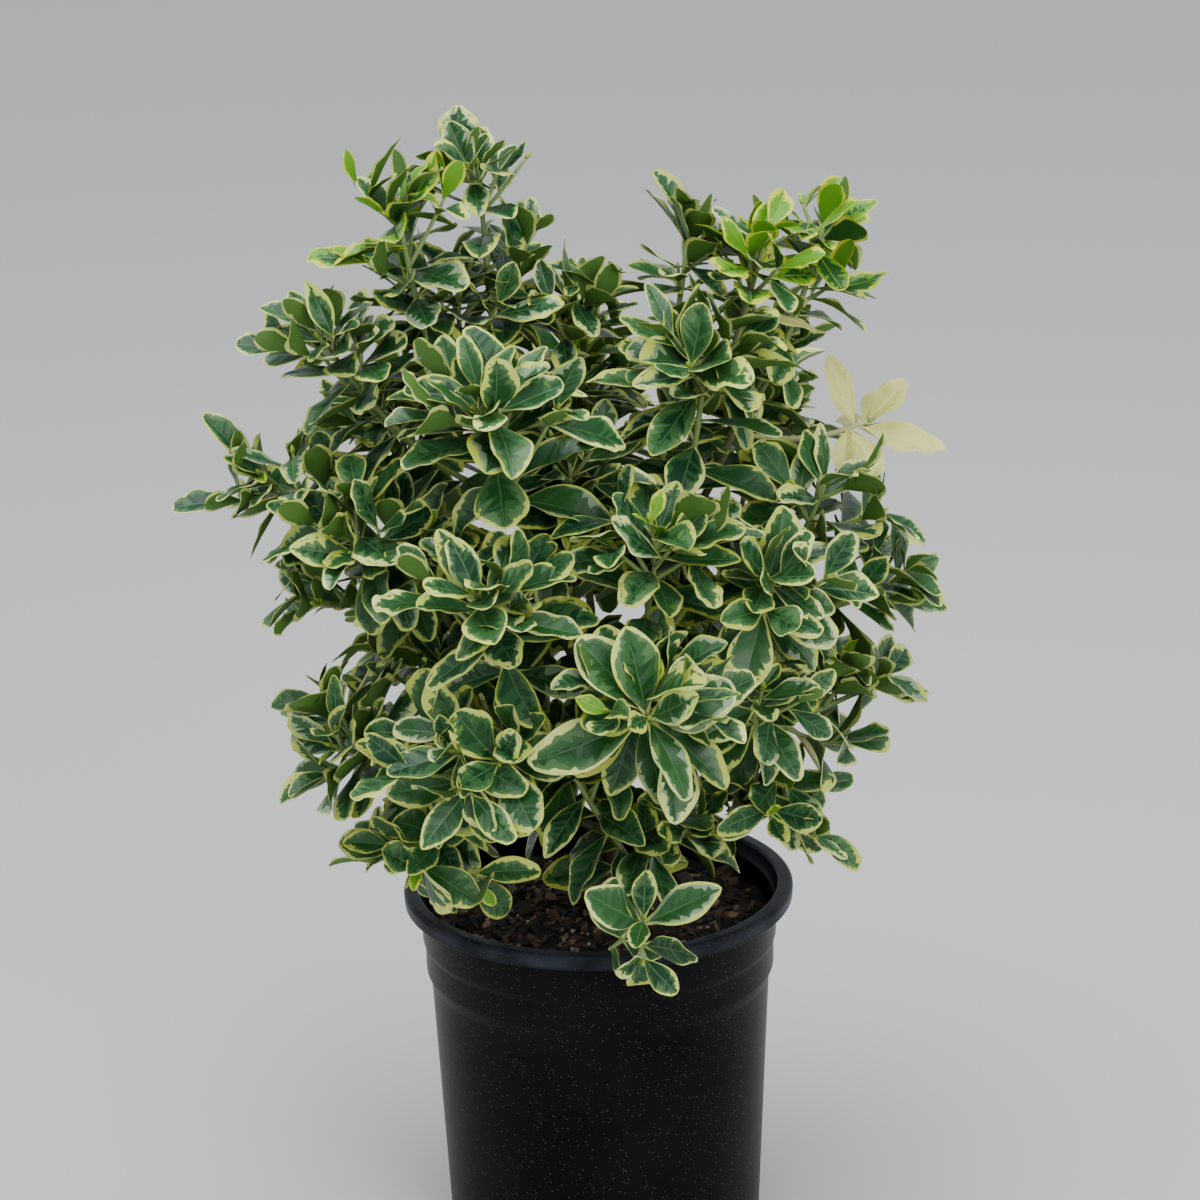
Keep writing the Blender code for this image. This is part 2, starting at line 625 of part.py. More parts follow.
def pot_profile():
    """The pot's half section: up the inside from the floor, over the rolled rim and down the outside."""
    top = POT_HEIGHT
    band_foot = top - RIM_BAND
    neck_foot = top - NECK_DROP
    collar_foot = top - COLLAR_DROP
    lip = RIM_RADIUS - RIM_LEDGE
    inner_foot = FLOOR_THICKNESS + BASE_EDGE
    return (
        (0, FLOOR_THICKNESS),
        (wall_radius(0) - BASE_EDGE, FLOOR_THICKNESS),
        (wall_radius(inner_foot) - POT_WALL, inner_foot),
        (wall_radius(collar_foot) - POT_WALL, collar_foot),
        (COLLAR_RADIUS - POT_WALL, collar_foot + COLLAR_SLOPE),
        (NECK_RADIUS - POT_WALL, band_foot),
        (lip, top - LIP_ROUND),
        (lip + LIP_ROUND, top),
        (RIM_RADIUS - RIM_ROUND, top),
        (RIM_RADIUS, top - RIM_ROUND_DROP),
        (RIM_RADIUS - RIM_TAPER, band_foot + UNDERCUT),
        (RIM_RADIUS - RIM_RETURN, band_foot),
        (NECK_RADIUS + NECK_ROUND, band_foot + UNDERCUT),
        (NECK_RADIUS, band_foot - NECK_ROUND_DROP),
        (NECK_RADIUS, neck_foot),
        (COLLAR_RADIUS, neck_foot - COLLAR_STEP),
        (COLLAR_RADIUS, collar_foot + COLLAR_SLOPE),
        (wall_radius(collar_foot), collar_foot),
        (wall_radius(BASE_EDGE), BASE_EDGE),
        (wall_radius(0) - BASE_CHAMFER, 0),
        (0, 0),
    )


def drilled(obj, cutters):
    """Cuts the drain holes through the wall's foot."""
    for number in range(DRAIN_HOLES):
        turn = 2 * math.pi * (number + 0.5) / DRAIN_HOLES
        mesh = bpy.data.meshes.new("drain_cutter")
        shape = bmesh.new()
        bmesh.ops.create_cone(
            shape,
            cap_ends=True,
            segments=DRAIN_SIDES,
            radius1=DRAIN_RADIUS,
            radius2=DRAIN_RADIUS,
            depth=DRAIN_CUT_LENGTH,
        )
        shape.to_mesh(mesh)
        shape.free()
        cutter = mesh_object("drain_cutter", mesh, cutters)
        place = Matrix.Rotation(turn, 4, "Z") @ Matrix.Translation((WALL_BASE_RADIUS, 0, DRAIN_HEIGHT))
        cutter.matrix_world = place @ Matrix.Rotation(math.pi / 2, 4, "Y")
        cutter.hide_render = True
        cutter.display_type = "WIRE"
        cut = obj.modifiers.new("drain", "BOOLEAN")
        cut.operation = "DIFFERENCE"
        cut.object = cutter
    applied(obj)
    for cutter in list(cutters.objects):
        bpy.data.objects.remove(cutter)


def build_pot(collection, cutters):
    pot = turned("pot", pot_profile(), POT_STEPS, collection, material("black_plastic", BLACK_PLASTIC, 0.42))
    drilled(pot, cutters)
    smooth(pot.data)


def build_soil(collection):
    """The root ball: it fills the pot to a little below the rim, clear of its wall all round."""
    floor = FLOOR_THICKNESS + GAP
    off = POT_WALL + GAP
    collar_foot = POT_HEIGHT - COLLAR_DROP
    edge_top = SOIL_TOP - SOIL_EDGE_DROP
    profile = (
        (0, SOIL_TOP),
        (SOIL_FLAT_RADIUS, SOIL_TOP),
        (COLLAR_RADIUS - off, edge_top),
        (COLLAR_RADIUS - off, collar_foot + COLLAR_SLOPE),
        (wall_radius(collar_foot) - off, collar_foot),
        (wall_radius(floor + BASE_EDGE) - off, floor + BASE_EDGE),
        (wall_radius(0) - BASE_EDGE - off, floor),
        (0, floor),
    )
    turned("soil", profile, POT_STEPS, collection, material("potting_mix", POTTING_MIX, 0.95))


def build_tag(collection):
    """A blank plant tag: a flat strip with its top corners cut off."""
    half = TAG_WIDTH / 2
    outline = (
        (-half, 0),
        (half, 0),
        (half, TAG_HEIGHT - TAG_SHOULDER),
        (half - TAG_SHOULDER_WIDTH, TAG_HEIGHT),
        (TAG_SHOULDER_WIDTH - half, TAG_HEIGHT),
        (-half, TAG_HEIGHT - TAG_SHOULDER),
    )
    curve = bpy.data.curves.new("plant_tag", "CURVE")
    curve.dimensions = "2D"
    curve.fill_mode = "BOTH"
    curve.extrude = TAG_THICKNESS / 2
    spline = curve.splines.new("POLY")
    spline.points.add(len(outline) - 1)
    for point, (x, y) in zip(spline.points, outline):
        point.co = (x, y, 0, 1)
    spline.use_cyclic_u = True
    tag = bpy.data.objects.new("plant_tag", curve)
    curve.materials.append(material("pale_plastic", TAG_GREY, 0.5))
    collection.objects.link(tag)
    stand = Matrix.Translation((*TAG_FOOT, SOIL_TOP + GAP)) @ Matrix.Rotation(TAG_TURN, 4, "Z")
    tag.matrix_world = stand @ Matrix.Rotation(math.pi / 2, 4, "X")


def tube_curve(name, points, radii, collection, sides_object=None, resolution=2):
    """A tapering round limb as a curve; with sides_object it has that outline in place of a circle."""
    curve = bpy.data.curves.new(name, "CURVE")
    curve.dimensions = "3D"
    curve.use_fill_caps = True
    curve.bevel_resolution = resolution
    if sides_object:
        curve.bevel_mode = "OBJECT"
        curve.bevel_object = sides_object
    else:
        curve.bevel_depth = 1.0
    spline = curve.splines.new("POLY")
    spline.points.add(len(points) - 1)
    for point, at, radius in zip(spline.points, points, radii):
        point.co = (*at, 1)
        point.radius = radius
    obj = bpy.data.objects.new(name, curve)
    collection.objects.link(obj)
    return obj


def curves_to_meshes(curves, collection, surfaces):
    """Mesh objects in place of curve objects, with the caps welded on."""
    bpy.context.view_layer.update()
    graph = bpy.context.evaluated_depsgraph_get()
    made = []
    for curve, surface in zip(curves, surfaces):
        mesh = bpy.data.meshes.new_from_object(curve.evaluated_get(graph))
        shape = bmesh.new()
        shape.from_mesh(mesh)
        bmesh.ops.remove_doubles(shape, verts=shape.verts, dist=1e-6)
        bmesh.ops.recalc_face_normals(shape, faces=shape.faces)
        shape.to_mesh(mesh)
        shape.free()
        name = curve.name
        bpy.data.objects.remove(curve)
        made.append(mesh_object(name, mesh, collection, surface))
    return made


def rounded_end(points, radii):
    """The points and radii of a limb with a round end past its last point."""
    end, radius = points[-1], radii[-1]
    way = unit(points[-1] - points[-2])
    more = [end + way * radius * past for past, _ in ROUND_END]
    return np.vstack([points, more]), np.concatenate([radii, [radius * wide for _, wide in ROUND_END]])


def build_limbs(limbs, collection):
    bark, green = material("bark", OLD_BARK, 0.85), material("green_bark", GREEN_BARK, 0.6)
    stems = {stem.name for stem in STEMS}
    curves, surfaces = [], []
    for name, route in limbs.items():
        points, radii = rounded_end(*route)
        curves.append(tube_curve(name, points, radii, collection, resolution=3 if name in stems else 1))
        surfaces.append(bark if name in stems else green)
    for limb in curves_to_meshes(curves, collection, surfaces):
        smooth(limb.data, 50)


def triangle_outline(helpers):
    """A three-sided outline of radius 1, for the twigs."""
    curve = bpy.data.curves.new("three_sides", "CURVE")
    curve.dimensions = "2D"
    spline = curve.splines.new("POLY")
    spline.points.add(2)
    for k, point in enumerate(spline.points):
        turn = 2 * math.pi * k / 3
        point.co = (math.cos(turn), math.sin(turn), 0, 1)
    spline.use_cyclic_u = True
    obj = bpy.data.objects.new("three_sides", curve)
    obj.hide_render = True
    helpers.objects.link(obj)
    return obj


def leaf_mesh(surface):
    """A leaf one unit long on +Y: a three-sided cone pulled into a blade with its keel at the midrib."""
    shape = bmesh.new()
    bmesh.ops.create_cone(shape, cap_ends=True, segments=3, radius1=1, radius2=0, depth=1)
    for vert in shape.verts:
        x, y, z = vert.co
        if z > 0:
            vert.co = (0, 0, 0)
        elif abs(x) < 0.1:
            vert.co = (0, 1, 0)
        else:
            vert.co = (math.copysign(LEAF_WIDTH / 2, -x), LEAF_WIDEST, LEAF_THICKNESS)
    mesh = bpy.data.meshes.new("leaf")
    shape.to_mesh(mesh)
    shape.free()
    mesh.materials.append(surface)
    return mesh


def leaf_matrix(leaf):
    side = np.cross(leaf.direction, leaf.normal)
    frame = np.eye(4)
    frame[:3, :3] = np.stack([side, leaf.direction, leaf.normal], axis=1) * leaf.length
    frame[:3, 3] = leaf.root
    return Matrix(frame)


def build_masses(crown, collection, helpers):
    green, cream = material("leaf", LEAF_GREEN, 0.45), material("cream_leaf", LEAF_CREAM, 0.5)
    outline = triangle_outline(helpers)
    blades = {"cream_spray": leaf_mesh(cream)}
    blade = leaf_mesh(green)
    curves, owners = [], []
    joined = {}
    for name, (leader, shoots, leaves) in crown.items():
        joined[name] = new_collection(name + "_joined")
        points, radii = leader
        curves.append(tube_curve(name, points, radii, collection, outline))
        owners.append(None)
        for points, radii in shoots:
            curves.append(tube_curve(name + "_shoot", points, radii, collection, outline))
            owners.append(name)
        for leaf in leaves:
            placed = mesh_object("leaf", blades.get(name, blade), joined[name])
            placed.matrix_world = leaf_matrix(leaf)
    surfaces = [cream if curve.name.startswith("cream_spray") else green for curve in curves]
    meshes = curves_to_meshes(curves, collection, surfaces)
    for obj, owner in zip(meshes, owners):
        if owner:
            collection.objects.unlink(obj)
            joined[owner].objects.link(obj)
    leaders = [obj for obj, owner in zip(meshes, owners) if not owner]
    for obj in leaders:
        union = obj.modifiers.new("join", "BOOLEAN")
        union.operation = "UNION"
        union.operand_type = "COLLECTION"
        union.collection = joined[obj.name]
        union.solver = "MANIFOLD"
    for obj in leaders:
        applied(obj)
    for operands in joined.values():
        for obj in list(operands.objects):
            bpy.data.objects.remove(obj)
        bpy.data.collections.remove(operands)
    bpy.data.objects.remove(outline)


def main():
    clear_scene()
    shrub = new_collection("silver_queen_spindle")
    helpers = new_collection("helpers")
    build_pot(shrub, helpers)
    build_soil(shrub)
    build_tag(shrub)
    limbs, starts = limb_routes()
    build_limbs(limbs, shrub)
    build_masses(grow_crown(limbs, starts), shrub, helpers)
    bpy.data.collections.remove(helpers)


main()
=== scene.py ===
"""The looks of a silver queen japanese spindle in its black nursery pot.

Metres, +Z up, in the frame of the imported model: the origin is the middle of the pot's underside.
The crown grows again by the same rule as the solids' one, with more shoots and with leaves in their true outline.
"""

import json
import math
from collections import namedtuple

import bmesh
import bpy
import numpy as np
from mathutils import Matrix, Vector

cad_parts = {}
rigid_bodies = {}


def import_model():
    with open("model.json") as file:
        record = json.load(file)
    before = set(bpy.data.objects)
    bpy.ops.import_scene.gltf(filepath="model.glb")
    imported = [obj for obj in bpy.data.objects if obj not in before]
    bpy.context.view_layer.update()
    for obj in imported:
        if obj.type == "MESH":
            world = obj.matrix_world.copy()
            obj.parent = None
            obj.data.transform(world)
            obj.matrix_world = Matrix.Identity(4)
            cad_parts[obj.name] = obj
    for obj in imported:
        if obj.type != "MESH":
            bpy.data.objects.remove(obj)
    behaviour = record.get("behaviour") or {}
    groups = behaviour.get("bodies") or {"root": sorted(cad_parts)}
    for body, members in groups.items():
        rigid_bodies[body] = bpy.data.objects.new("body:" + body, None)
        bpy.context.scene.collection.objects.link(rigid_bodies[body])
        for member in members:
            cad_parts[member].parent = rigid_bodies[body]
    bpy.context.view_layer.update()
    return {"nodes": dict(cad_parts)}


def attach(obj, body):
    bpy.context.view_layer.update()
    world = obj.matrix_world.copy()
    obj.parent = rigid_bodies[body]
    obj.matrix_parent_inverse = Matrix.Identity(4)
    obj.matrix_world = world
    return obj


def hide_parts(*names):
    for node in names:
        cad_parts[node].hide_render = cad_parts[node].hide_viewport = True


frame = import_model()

# Pot
RIM_RADIUS = 0.150
POT_HEIGHT = 0.280
POT_WALL = 0.0022
RIM_BAND = 0.0120
RIM_LEDGE = 0.0125
NECK_RADIUS = 0.1366
NECK_DROP = 0.042
COLLAR_RADIUS = 0.1346
COLLAR_DROP = 0.076
COLLAR_SLOPE = 0.010
WALL_TOP_RADIUS = 0.1308
WALL_BASE_RADIUS = 0.1210
BASE_EDGE = 0.006
FLOOR_THICKNESS = 0.003
POT_STEPS = 144
DRAIN_HOLES = 4
DRAIN_RADIUS = 0.0075
DRAIN_HEIGHT = 0.0125

# Soil
SOIL_TOP = 0.256
SOIL_DEPTH = 0.030
SOIL_GRID = 120
CHIPS = 1500
CHIP_SEED = 7

# Stems that rise from the soil: route, radius at the flare, above it and at the fork
Stem = namedtuple("Stem", "name route flare foot_radius tip_radius")
STEMS = (
    Stem(
        "main_stem",
        ((0.003, 0, 0.2563), (0.006, -0.001, 0.300), (0.016, -0.004, 0.345), (0.018, -0.003, 0.405)),
        0.0105,
        0.0066,
        0.0054,
    ),
    Stem(
        "second_stem",
        ((0.030, 0.007, 0.2563), (0.029, 0.007, 0.290), (0.038, 0.008, 0.340), (0.058, 0.010, 0.395)),
        0.0064,
        0.0044,
        0.0038,
    ),
)
FLARE_HEIGHT = 0.016

# Boughs: the limb each grows from, how far up it, where its own tip lies, and its two radii
Bough = namedtuple("Bough", "name parent share tip butt_radius tip_radius")
BOUGHS = (
    Bough("low_front_bough", "main_stem", 0.26, (0.026, -0.050, 0.313), 0.0030, 0.0026),
    Bough("low_left_bough", "main_stem", 0.44, (-0.100, -0.024, 0.374), 0.0036, 0.0028),
    Bough("back_left_bough", "main_stem", 0.54, (-0.074, 0.064, 0.440), 0.0038, 0.0029),
    Bough("front_left_bough", "main_stem", 0.62, (-0.046, -0.088, 0.452), 0.0037, 0.0028),
    Bough("left_bough", "main_stem", 0.78, (-0.112, -0.018, 0.505), 0.0040, 0.0029),
    Bough("front_bough", "main_stem", 0.74, (0.028, -0.084, 0.458), 0.0036, 0.0028),
    Bough("back_bough", "main_stem", 0.86, (-0.004, 0.078, 0.520), 0.0038, 0.0029),
    Bough("centre_leader", "main_stem", 0.93, (-0.014, -0.032, 0.548), 0.0036, 0.0028),
    Bough("left_leader", "main_stem", 1.00, (-0.050, 0.004, 0.585), 0.0042, 0.0034),
    Bough("right_leader", "main_stem", 1.00, (0.062, -0.016, 0.568), 0.0042, 0.0034),
    Bough("top_left_bough", "left_leader", 1.00, (-0.088, 0.008, 0.652), 0.0031, 0.0028),
    Bough("top_right_bough", "right_leader", 1.00, (0.108, 0.014, 0.632), 0.0031, 0.0028),
    Bough("back_right_bough", "second_stem", 0.66, (0.088, 0.074, 0.448), 0.0033, 0.0028),
    Bough("low_right_bough", "second_stem", 0.86, (0.120, -0.024, 0.402), 0.0033, 0.0028),
    Bough("right_bough", "second_stem", 1.00, (0.124, -0.012, 0.492), 0.0035, 0.0028),
)
GAP = 0.0003
SIDE_ANGLE = math.radians(58)
LIMB_STEPS = 6
LEAVING_HANDLE = 0.30
ARRIVING_HANDLE = 0.35

# Masses of foliage: limb, middle and radii of its space, how it rises, leaf length and the kind of its leaves
Mass = namedtuple("Mass", "name limb centre radii rise leaf kind")
MASSES = (
    Mass("top_left_spray", "top_left_bough", (-0.131, -0.018, 0.792), (0.060, 0.060, 0.066), 0.8, 0.054, "bright"),
    Mass("crown_spray", "top_left_bough", (-0.077, 0.018, 0.808), (0.050, 0.058, 0.070), 0.8, 0.052, "green"),
    Mass("upper_left_mass", "top_left_bough", (-0.092, 0.016, 0.720), (0.092, 0.078, 0.066), 0.3, 0.056, "green"),
    Mass("left_shoulder_mass", "left_leader", (-0.178, -0.012, 0.696), (0.076, 0.076, 0.064), 0.5, 0.056, "green"),
    Mass("far_left_spray", "left_bough", (-0.226, -0.004, 0.596), (0.076, 0.064, 0.058), 0.4, 0.058, "green"),
    Mass("left_mass", "left_bough", (-0.160, -0.055, 0.560), (0.086, 0.080, 0.074), 0.3, 0.060, "green"),
    Mass("left_drooping_spray", "left_bough", (-0.192, -0.034, 0.524), (0.054, 0.060, 0.046), -0.2, 0.056, "green"),
    Mass("upper_middle_mass", "centre_leader", (-0.070, -0.108, 0.664), (0.082, 0.076, 0.070), 0.4, 0.062, "green"),
    Mass("middle_spray", "centre_leader", (-0.012, 0.012, 0.708), (0.058, 0.062, 0.074), 0.9, 0.050, "green"),
    Mass("centre_mass", "centre_leader", (-0.014, -0.046, 0.606), (0.070, 0.070, 0.064), 0.5, 0.056, "green"),
    Mass("front_left_mass", "front_left_bough", (-0.074, -0.162, 0.545), (0.078, 0.070, 0.064), 0.3, 0.060, "green"),
    Mass("low_front_mass", "front_left_bough", (-0.086, -0.150, 0.430), (0.088, 0.072, 0.066), -0.1, 0.060, "green"),
    Mass("lower_left_mass", "low_left_bough", (-0.172, -0.064, 0.412), (0.070, 0.078, 0.070), 0.0, 0.062, "green"),
    Mass("low_left_hanging", "low_left_bough", (-0.130, -0.070, 0.334), (0.082, 0.072, 0.048), -0.5, 0.058, "green"),
    Mass("front_centre_mass", "front_bough", (0.036, -0.178, 0.474), (0.072, 0.066, 0.064), 0.3, 0.066, "green"),
    Mass("centre_right_mass", "front_bough", (0.046, -0.120, 0.570), (0.072, 0.070, 0.066), 0.5, 0.062, "green"),
    Mass("tall_spray", "right_leader", (0.084, -0.058, 0.682), (0.072, 0.070, 0.074), 0.8, 0.060, "green"),
    Mass("upper_right_mass", "right_leader", (0.076, 0.026, 0.746), (0.054, 0.062, 0.064), 0.8, 0.056, "green"),
    Mass("bright_spray", "top_right_bough", (0.126, -0.004, 0.752), (0.052, 0.054, 0.060), 0.8, 0.054, "bright"),
    Mass("right_tip_spray", "top_right_bough", (0.172, 0.022, 0.766), (0.052, 0.056, 0.056), 0.8, 0.054, "bright"),
    Mass("right_shoulder_mass", "top_right_bough", (0.138, 0.034, 0.674), (0.056, 0.066, 0.060), 0.3, 0.056, "green"),
    Mass("cream_spray", "top_right_bough", (0.188, 0.014, 0.628), (0.056, 0.052, 0.048), 0.6, 0.052, "cream"),
    Mass("right_mass", "right_bough", (0.166, -0.034, 0.580), (0.068, 0.070, 0.064), 0.5, 0.058, "green"),
    Mass("right_bud_mass", "right_bough", (0.126, -0.100, 0.540), (0.066, 0.068, 0.066), 0.5, 0.056, "green"),
    Mass("far_right_mass", "right_bough", (0.210, -0.008, 0.506), (0.058, 0.068, 0.062), 0.4, 0.056, "green"),
    Mass("low_right_mass", "low_right_bough", (0.188, -0.018, 0.430), (0.064, 0.072, 0.062), 0.0, 0.060, "green"),
    Mass("lower_right_mass", "low_right_bough", (0.118, -0.108, 0.452), (0.062, 0.068, 0.056), 0.3, 0.044, "green"),
    Mass("low_right_hanging", "low_right_bough", (0.134, -0.050, 0.360), (0.060, 0.066, 0.054), -0.4, 0.052, "green"),
    Mass("foot_mass", "low_front_bough", (0.062, -0.062, 0.342), (0.060, 0.058, 0.050), 0.2, 0.050, "green"),
    Mass("front_hanging_mass", "low_front_bough", (0.030, -0.164, 0.306), (0.062, 0.050, 0.066), -0.6, 0.058, "open"),
    Mass("heart_mass", "low_front_bough", (-0.018, -0.092, 0.402), (0.060, 0.058, 0.060), 0.6, 0.052, "green"),
    Mass("low_inner_left_mass", "low_left_bough", (-0.108, -0.034, 0.446), (0.064, 0.062, 0.060), 0.7, 0.056, "green"),
    Mass("inner_right_mass", "back_right_bough", (0.040, 0.036, 0.524), (0.062, 0.060, 0.066), 0.6, 0.056, "green"),
    Mass("inner_left_mass", "back_left_bough", (-0.070, 0.014, 0.494), (0.064, 0.062, 0.062), 0.6, 0.054, "green"),
    Mass("back_top_mass", "back_bough", (-0.006, 0.104, 0.640), (0.086, 0.074, 0.068), 0.6, 0.058, "green"),
    Mass("back_middle_mass", "back_bough", (-0.004, 0.166, 0.566), (0.082, 0.072, 0.080), 0.3, 0.060, "green"),
    Mass("back_left_mass", "back_left_bough", (-0.142, 0.098, 0.600), (0.084, 0.078, 0.080), 0.5, 0.060, "green"),
    Mass("back_low_left_mass", "back_left_bough", (-0.124, 0.124, 0.436), (0.084, 0.080, 0.076), 0.0, 0.060, "green"),
    Mass("back_right_mass", "back_right_bough", (0.132, 0.122, 0.600), (0.082, 0.078, 0.080), 0.5, 0.060, "green"),
    Mass("back_low_right_mass", "back_right_bough", (0.118, 0.132, 0.430), (0.084, 0.078, 0.076), 0.0, 0.060, "green"),
)
OPEN_KINDS = ("cream", "open")
FOLIAGE_SEED = 100
CENTRES = np.array([m.centre for m in MASSES])
RADII = np.array([m.radii for m in MASSES])
UP = np.array((0.0, 0.0, 1.0))

# A mass's twigs: the leader that runs into it from its limb, and the shoots that branch from the leader
LEADER_RADII = (0.0018, 0.0025, 0.0022, 0.0018)
LEADER_REACH = 0.42
LEADER_TRIES = 12
LEADER_BEND = 0.006
SHOOT_RADII = (0.0019, 0.0017, 0.0013)
SHOOT_REACH = (0.42, 0.74)
SHOOT_SHORTER = (1.0, 0.8, 0.6)
SHOOT_LIFT = 0.42
SHOOT_ANGLE = math.radians(42)
SHOOT_TURN_UP = 1.0
SHOOT_SPAN = (0.20, 0.90)
SHOOTS_IN_FULL_MASS = 7
LEAST_SHOOTS = 6
BACK_FULLNESS = 1.35
OPEN_SHOOTS = 2
OPEN_NODES = range(2)
FULL_MASS_RADIUS = 0.070
BACKWARD = 0.35
GOLDEN_ANGLE = math.pi * (3 - math.sqrt(5))

# Shoots that reach for the crown's furthest tips: where the tip of each one lies, and that of its end leaf, if any
AIMED_SHOOTS = {
    "far_left_spray": (
        ((-0.262, -0.006, 0.594), (-0.311, -0.006, 0.594)),
        ((-0.251, 0.004, 0.616), (-0.282, 0.004, 0.659)),
    ),
    "top_left_spray": (
        ((-0.156, -0.022, 0.777), (-0.200, -0.022, 0.787)),
        ((-0.165, -0.012, 0.834), None),
    ),
    "crown_spray": (
        ((-0.091, 0.024, 0.837), (-0.089, 0.024, 0.880)),
        ((-0.033, 0.015, 0.792), None),
        ((-0.041, 0.024, 0.841), None),
    ),
    "upper_right_mass": (((0.079, 0.034, 0.788), (0.058, 0.034, 0.829)),),
    "right_tip_spray": (
        ((0.180, 0.016, 0.741), (0.225, 0.016, 0.742)),
        ((0.188, 0.028, 0.785), (0.214, 0.028, 0.806)),
    ),
    "right_mass": (((0.214, -0.041, 0.584), (0.253, -0.041, 0.566)),),
    "far_right_mass": (((0.225, -0.011, 0.505), (0.268, -0.011, 0.502)),),
    "low_right_mass": (
        ((0.220, -0.018, 0.448), (0.255, -0.018, 0.431)),
        ((0.191, -0.032, 0.398), None),
    ),
    "low_right_hanging": (((0.161, -0.070, 0.343), (0.198, -0.070, 0.315)),),
    "lower_left_mass": (
        ((-0.201, -0.052, 0.449), (-0.241, -0.052, 0.453)),
        ((-0.198, -0.076, 0.400), (-0.239, -0.076, 0.386)),
        ((-0.217, -0.090, 0.360), None),
    ),
    "left_shoulder_mass": (
        ((-0.217, -0.012, 0.710), (-0.257, -0.012, 0.716)),
        ((-0.200, -0.012, 0.728), (-0.236, -0.012, 0.747)),
    ),
    "left_drooping_spray": (((-0.220, -0.043, 0.517), None),),
    "middle_spray": (((0.020, 0.018, 0.756), None),),
}
AIMED_NODES = range(4)
END_FACING = np.array((0.10, -0.45, 0.89))

# Leaves: how far down from a shoot's tip each pair stands, its angle to the shoot, its droop and relative length
LEADER_NODES = range(5)
INNER_NODES = range(5, 9)
BOUGH_NODES = range(2, 9, 2)
MOST_SHOOT_NODES = (2, 5)
LEAF_NODES = (0.003, 0.015, 0.032, 0.051, 0.072, 0.092, 0.112, 0.133, 0.155)
LEAF_POLAR = tuple(math.radians(a) for a in (34, 50, 62, 70, 76, 76, 76, 76, 76))
LEAF_DROOP = (0.00, 0.04, 0.12, 0.22, 0.32, 0.36, 0.36, 0.36, 0.36)
LEAF_SIZE = (0.76, 1.00, 1.12, 1.10, 1.04, 1.02, 1.00, 0.98, 0.95)
YOUNG_SHARES = {"bright": 0.75, "green": 0.10, "open": 0.0, "cream": 0.0}
YOUNG_SIZE = 0.50
GOLD_SHARE = 0.60
CREAM_FROM_NODE = 3
CREAM_SHARE = 0.02
LEAF_WIDTH = 0.50
WIDTH_SPREAD = 0.065
CREAM_LEAF_WIDTH = 0.46
LEAF_WIDEST = 0.55
LEAF_THICKNESS = 0.012
LEAF_TRIES = 20
LEAF_MARGIN = -0.45
LEAF_SPACE = 1.60
LEAF_APART = 0.010
INNER_MARGIN = -3.0
INNER_SPACE = 6.0
TWIG_MARGIN = 0.02
NEARBY = 0.085
CROWN_RADIUS = 0.22
LIGHT_FROM_ABOVE = 0.60
LIGHT_FROM_SIDE = 0.60
CLEAR = 0.0016

# The cream shoot's leaves: how far under the shoot's tip each one stands, where its own tip lies, and which way it faces
CREAM_LEAVES = (
    (0.010, (0.1850, 0.006, 0.6845), np.array((0.55, -0.80, 0.15))),
    (0.001, (0.2350, 0.008, 0.6690), np.array((-0.40, -0.80, 0.45))),
    (0.008, (0.2655, 0.002, 0.6140), np.array((0.15, -0.42, 0.90))),
    (0.014, (0.2160, -0.012, 0.6030), np.array((0.45, -0.85, 0.25))),
    (0.016, (0.1880, -0.020, 0.6130), np.array((-0.20, -0.90, 0.40))),
    (0.004, (0.2230, 0.054, 0.6560), np.array((0.10, 0.20, 0.97))),
    (0.013, (0.1960, 0.060, 0.6250), np.array((-0.10, 0.45, 0.89))),
)

# A leaf's mesh: rows from stalk to tip that slant forward like side veins, and strips from margin to margin
BLADE_ROWS = 20
ROW_CROWDING = 1.2
ROW_JITTER = 0.003
VEIN_SLANT = 0.95
STALK_ROWS = 2
STALK_LENGTH = 0.08
STALK_WIDTH = 0.0011
LEAF_ROWS = STALK_ROWS + BLADE_ROWS
UPPER_STRIPS = 9
UNDER_PLACES = (-0.80, 0, 0.80)
UNDER_STEP = 4
RIB_WIDTH = 0.0006

# Shares of a blade's greatest half width: its cream margin, and the pale and middling streaks inside it
MARGIN = 0.200
MARGIN_SPREAD = 0.070
PALE_STREAK = 0.10
MID_STREAK = 0.16
STREAK_SHARE = 0.28

# Twigs and bark
TWIG_SIDES = 6
TWIG_RINGS = 8
BARK_SIDES = 18
BARK_STEP = 0.0034

# Colours, as linear RGB
LEAF_PALETTE = {
    "dark_a": (0.0125, 0.0670, 0.0170),
    "dark_b": (0.0200, 0.0900, 0.0180),
    "dark_c": (0.0090, 0.0470, 0.0190),
    "mid_a": (0.0350, 0.1150, 0.0330),
    "mid_b": (0.0800, 0.1750, 0.0620),
    "pale": (0.2500, 0.3500, 0.2150),
    "vein": (0.0320, 0.1000, 0.0390),
    "rib": (0.0650, 0.1700, 0.0480),
    "stalk": (0.230, 0.350, 0.090),
    "cream_a": (0.610, 0.700, 0.120),
    "cream_b": (0.710, 0.780, 0.230),
    "cream_c": (0.480, 0.550, 0.075),
    "ivory_a": (0.690, 0.690, 0.230),
    "ivory_b": (0.630, 0.630, 0.170),
    "under_green": (0.082, 0.185, 0.032),
    "under_cream": (0.600, 0.660, 0.200),
    "lime_a": (0.120, 0.320, 0.014),
    "lime_b": (0.180, 0.400, 0.022),
    "lime_rim": (0.600, 0.660, 0.045),
}
SLOTS = tuple(LEAF_PALETTE)

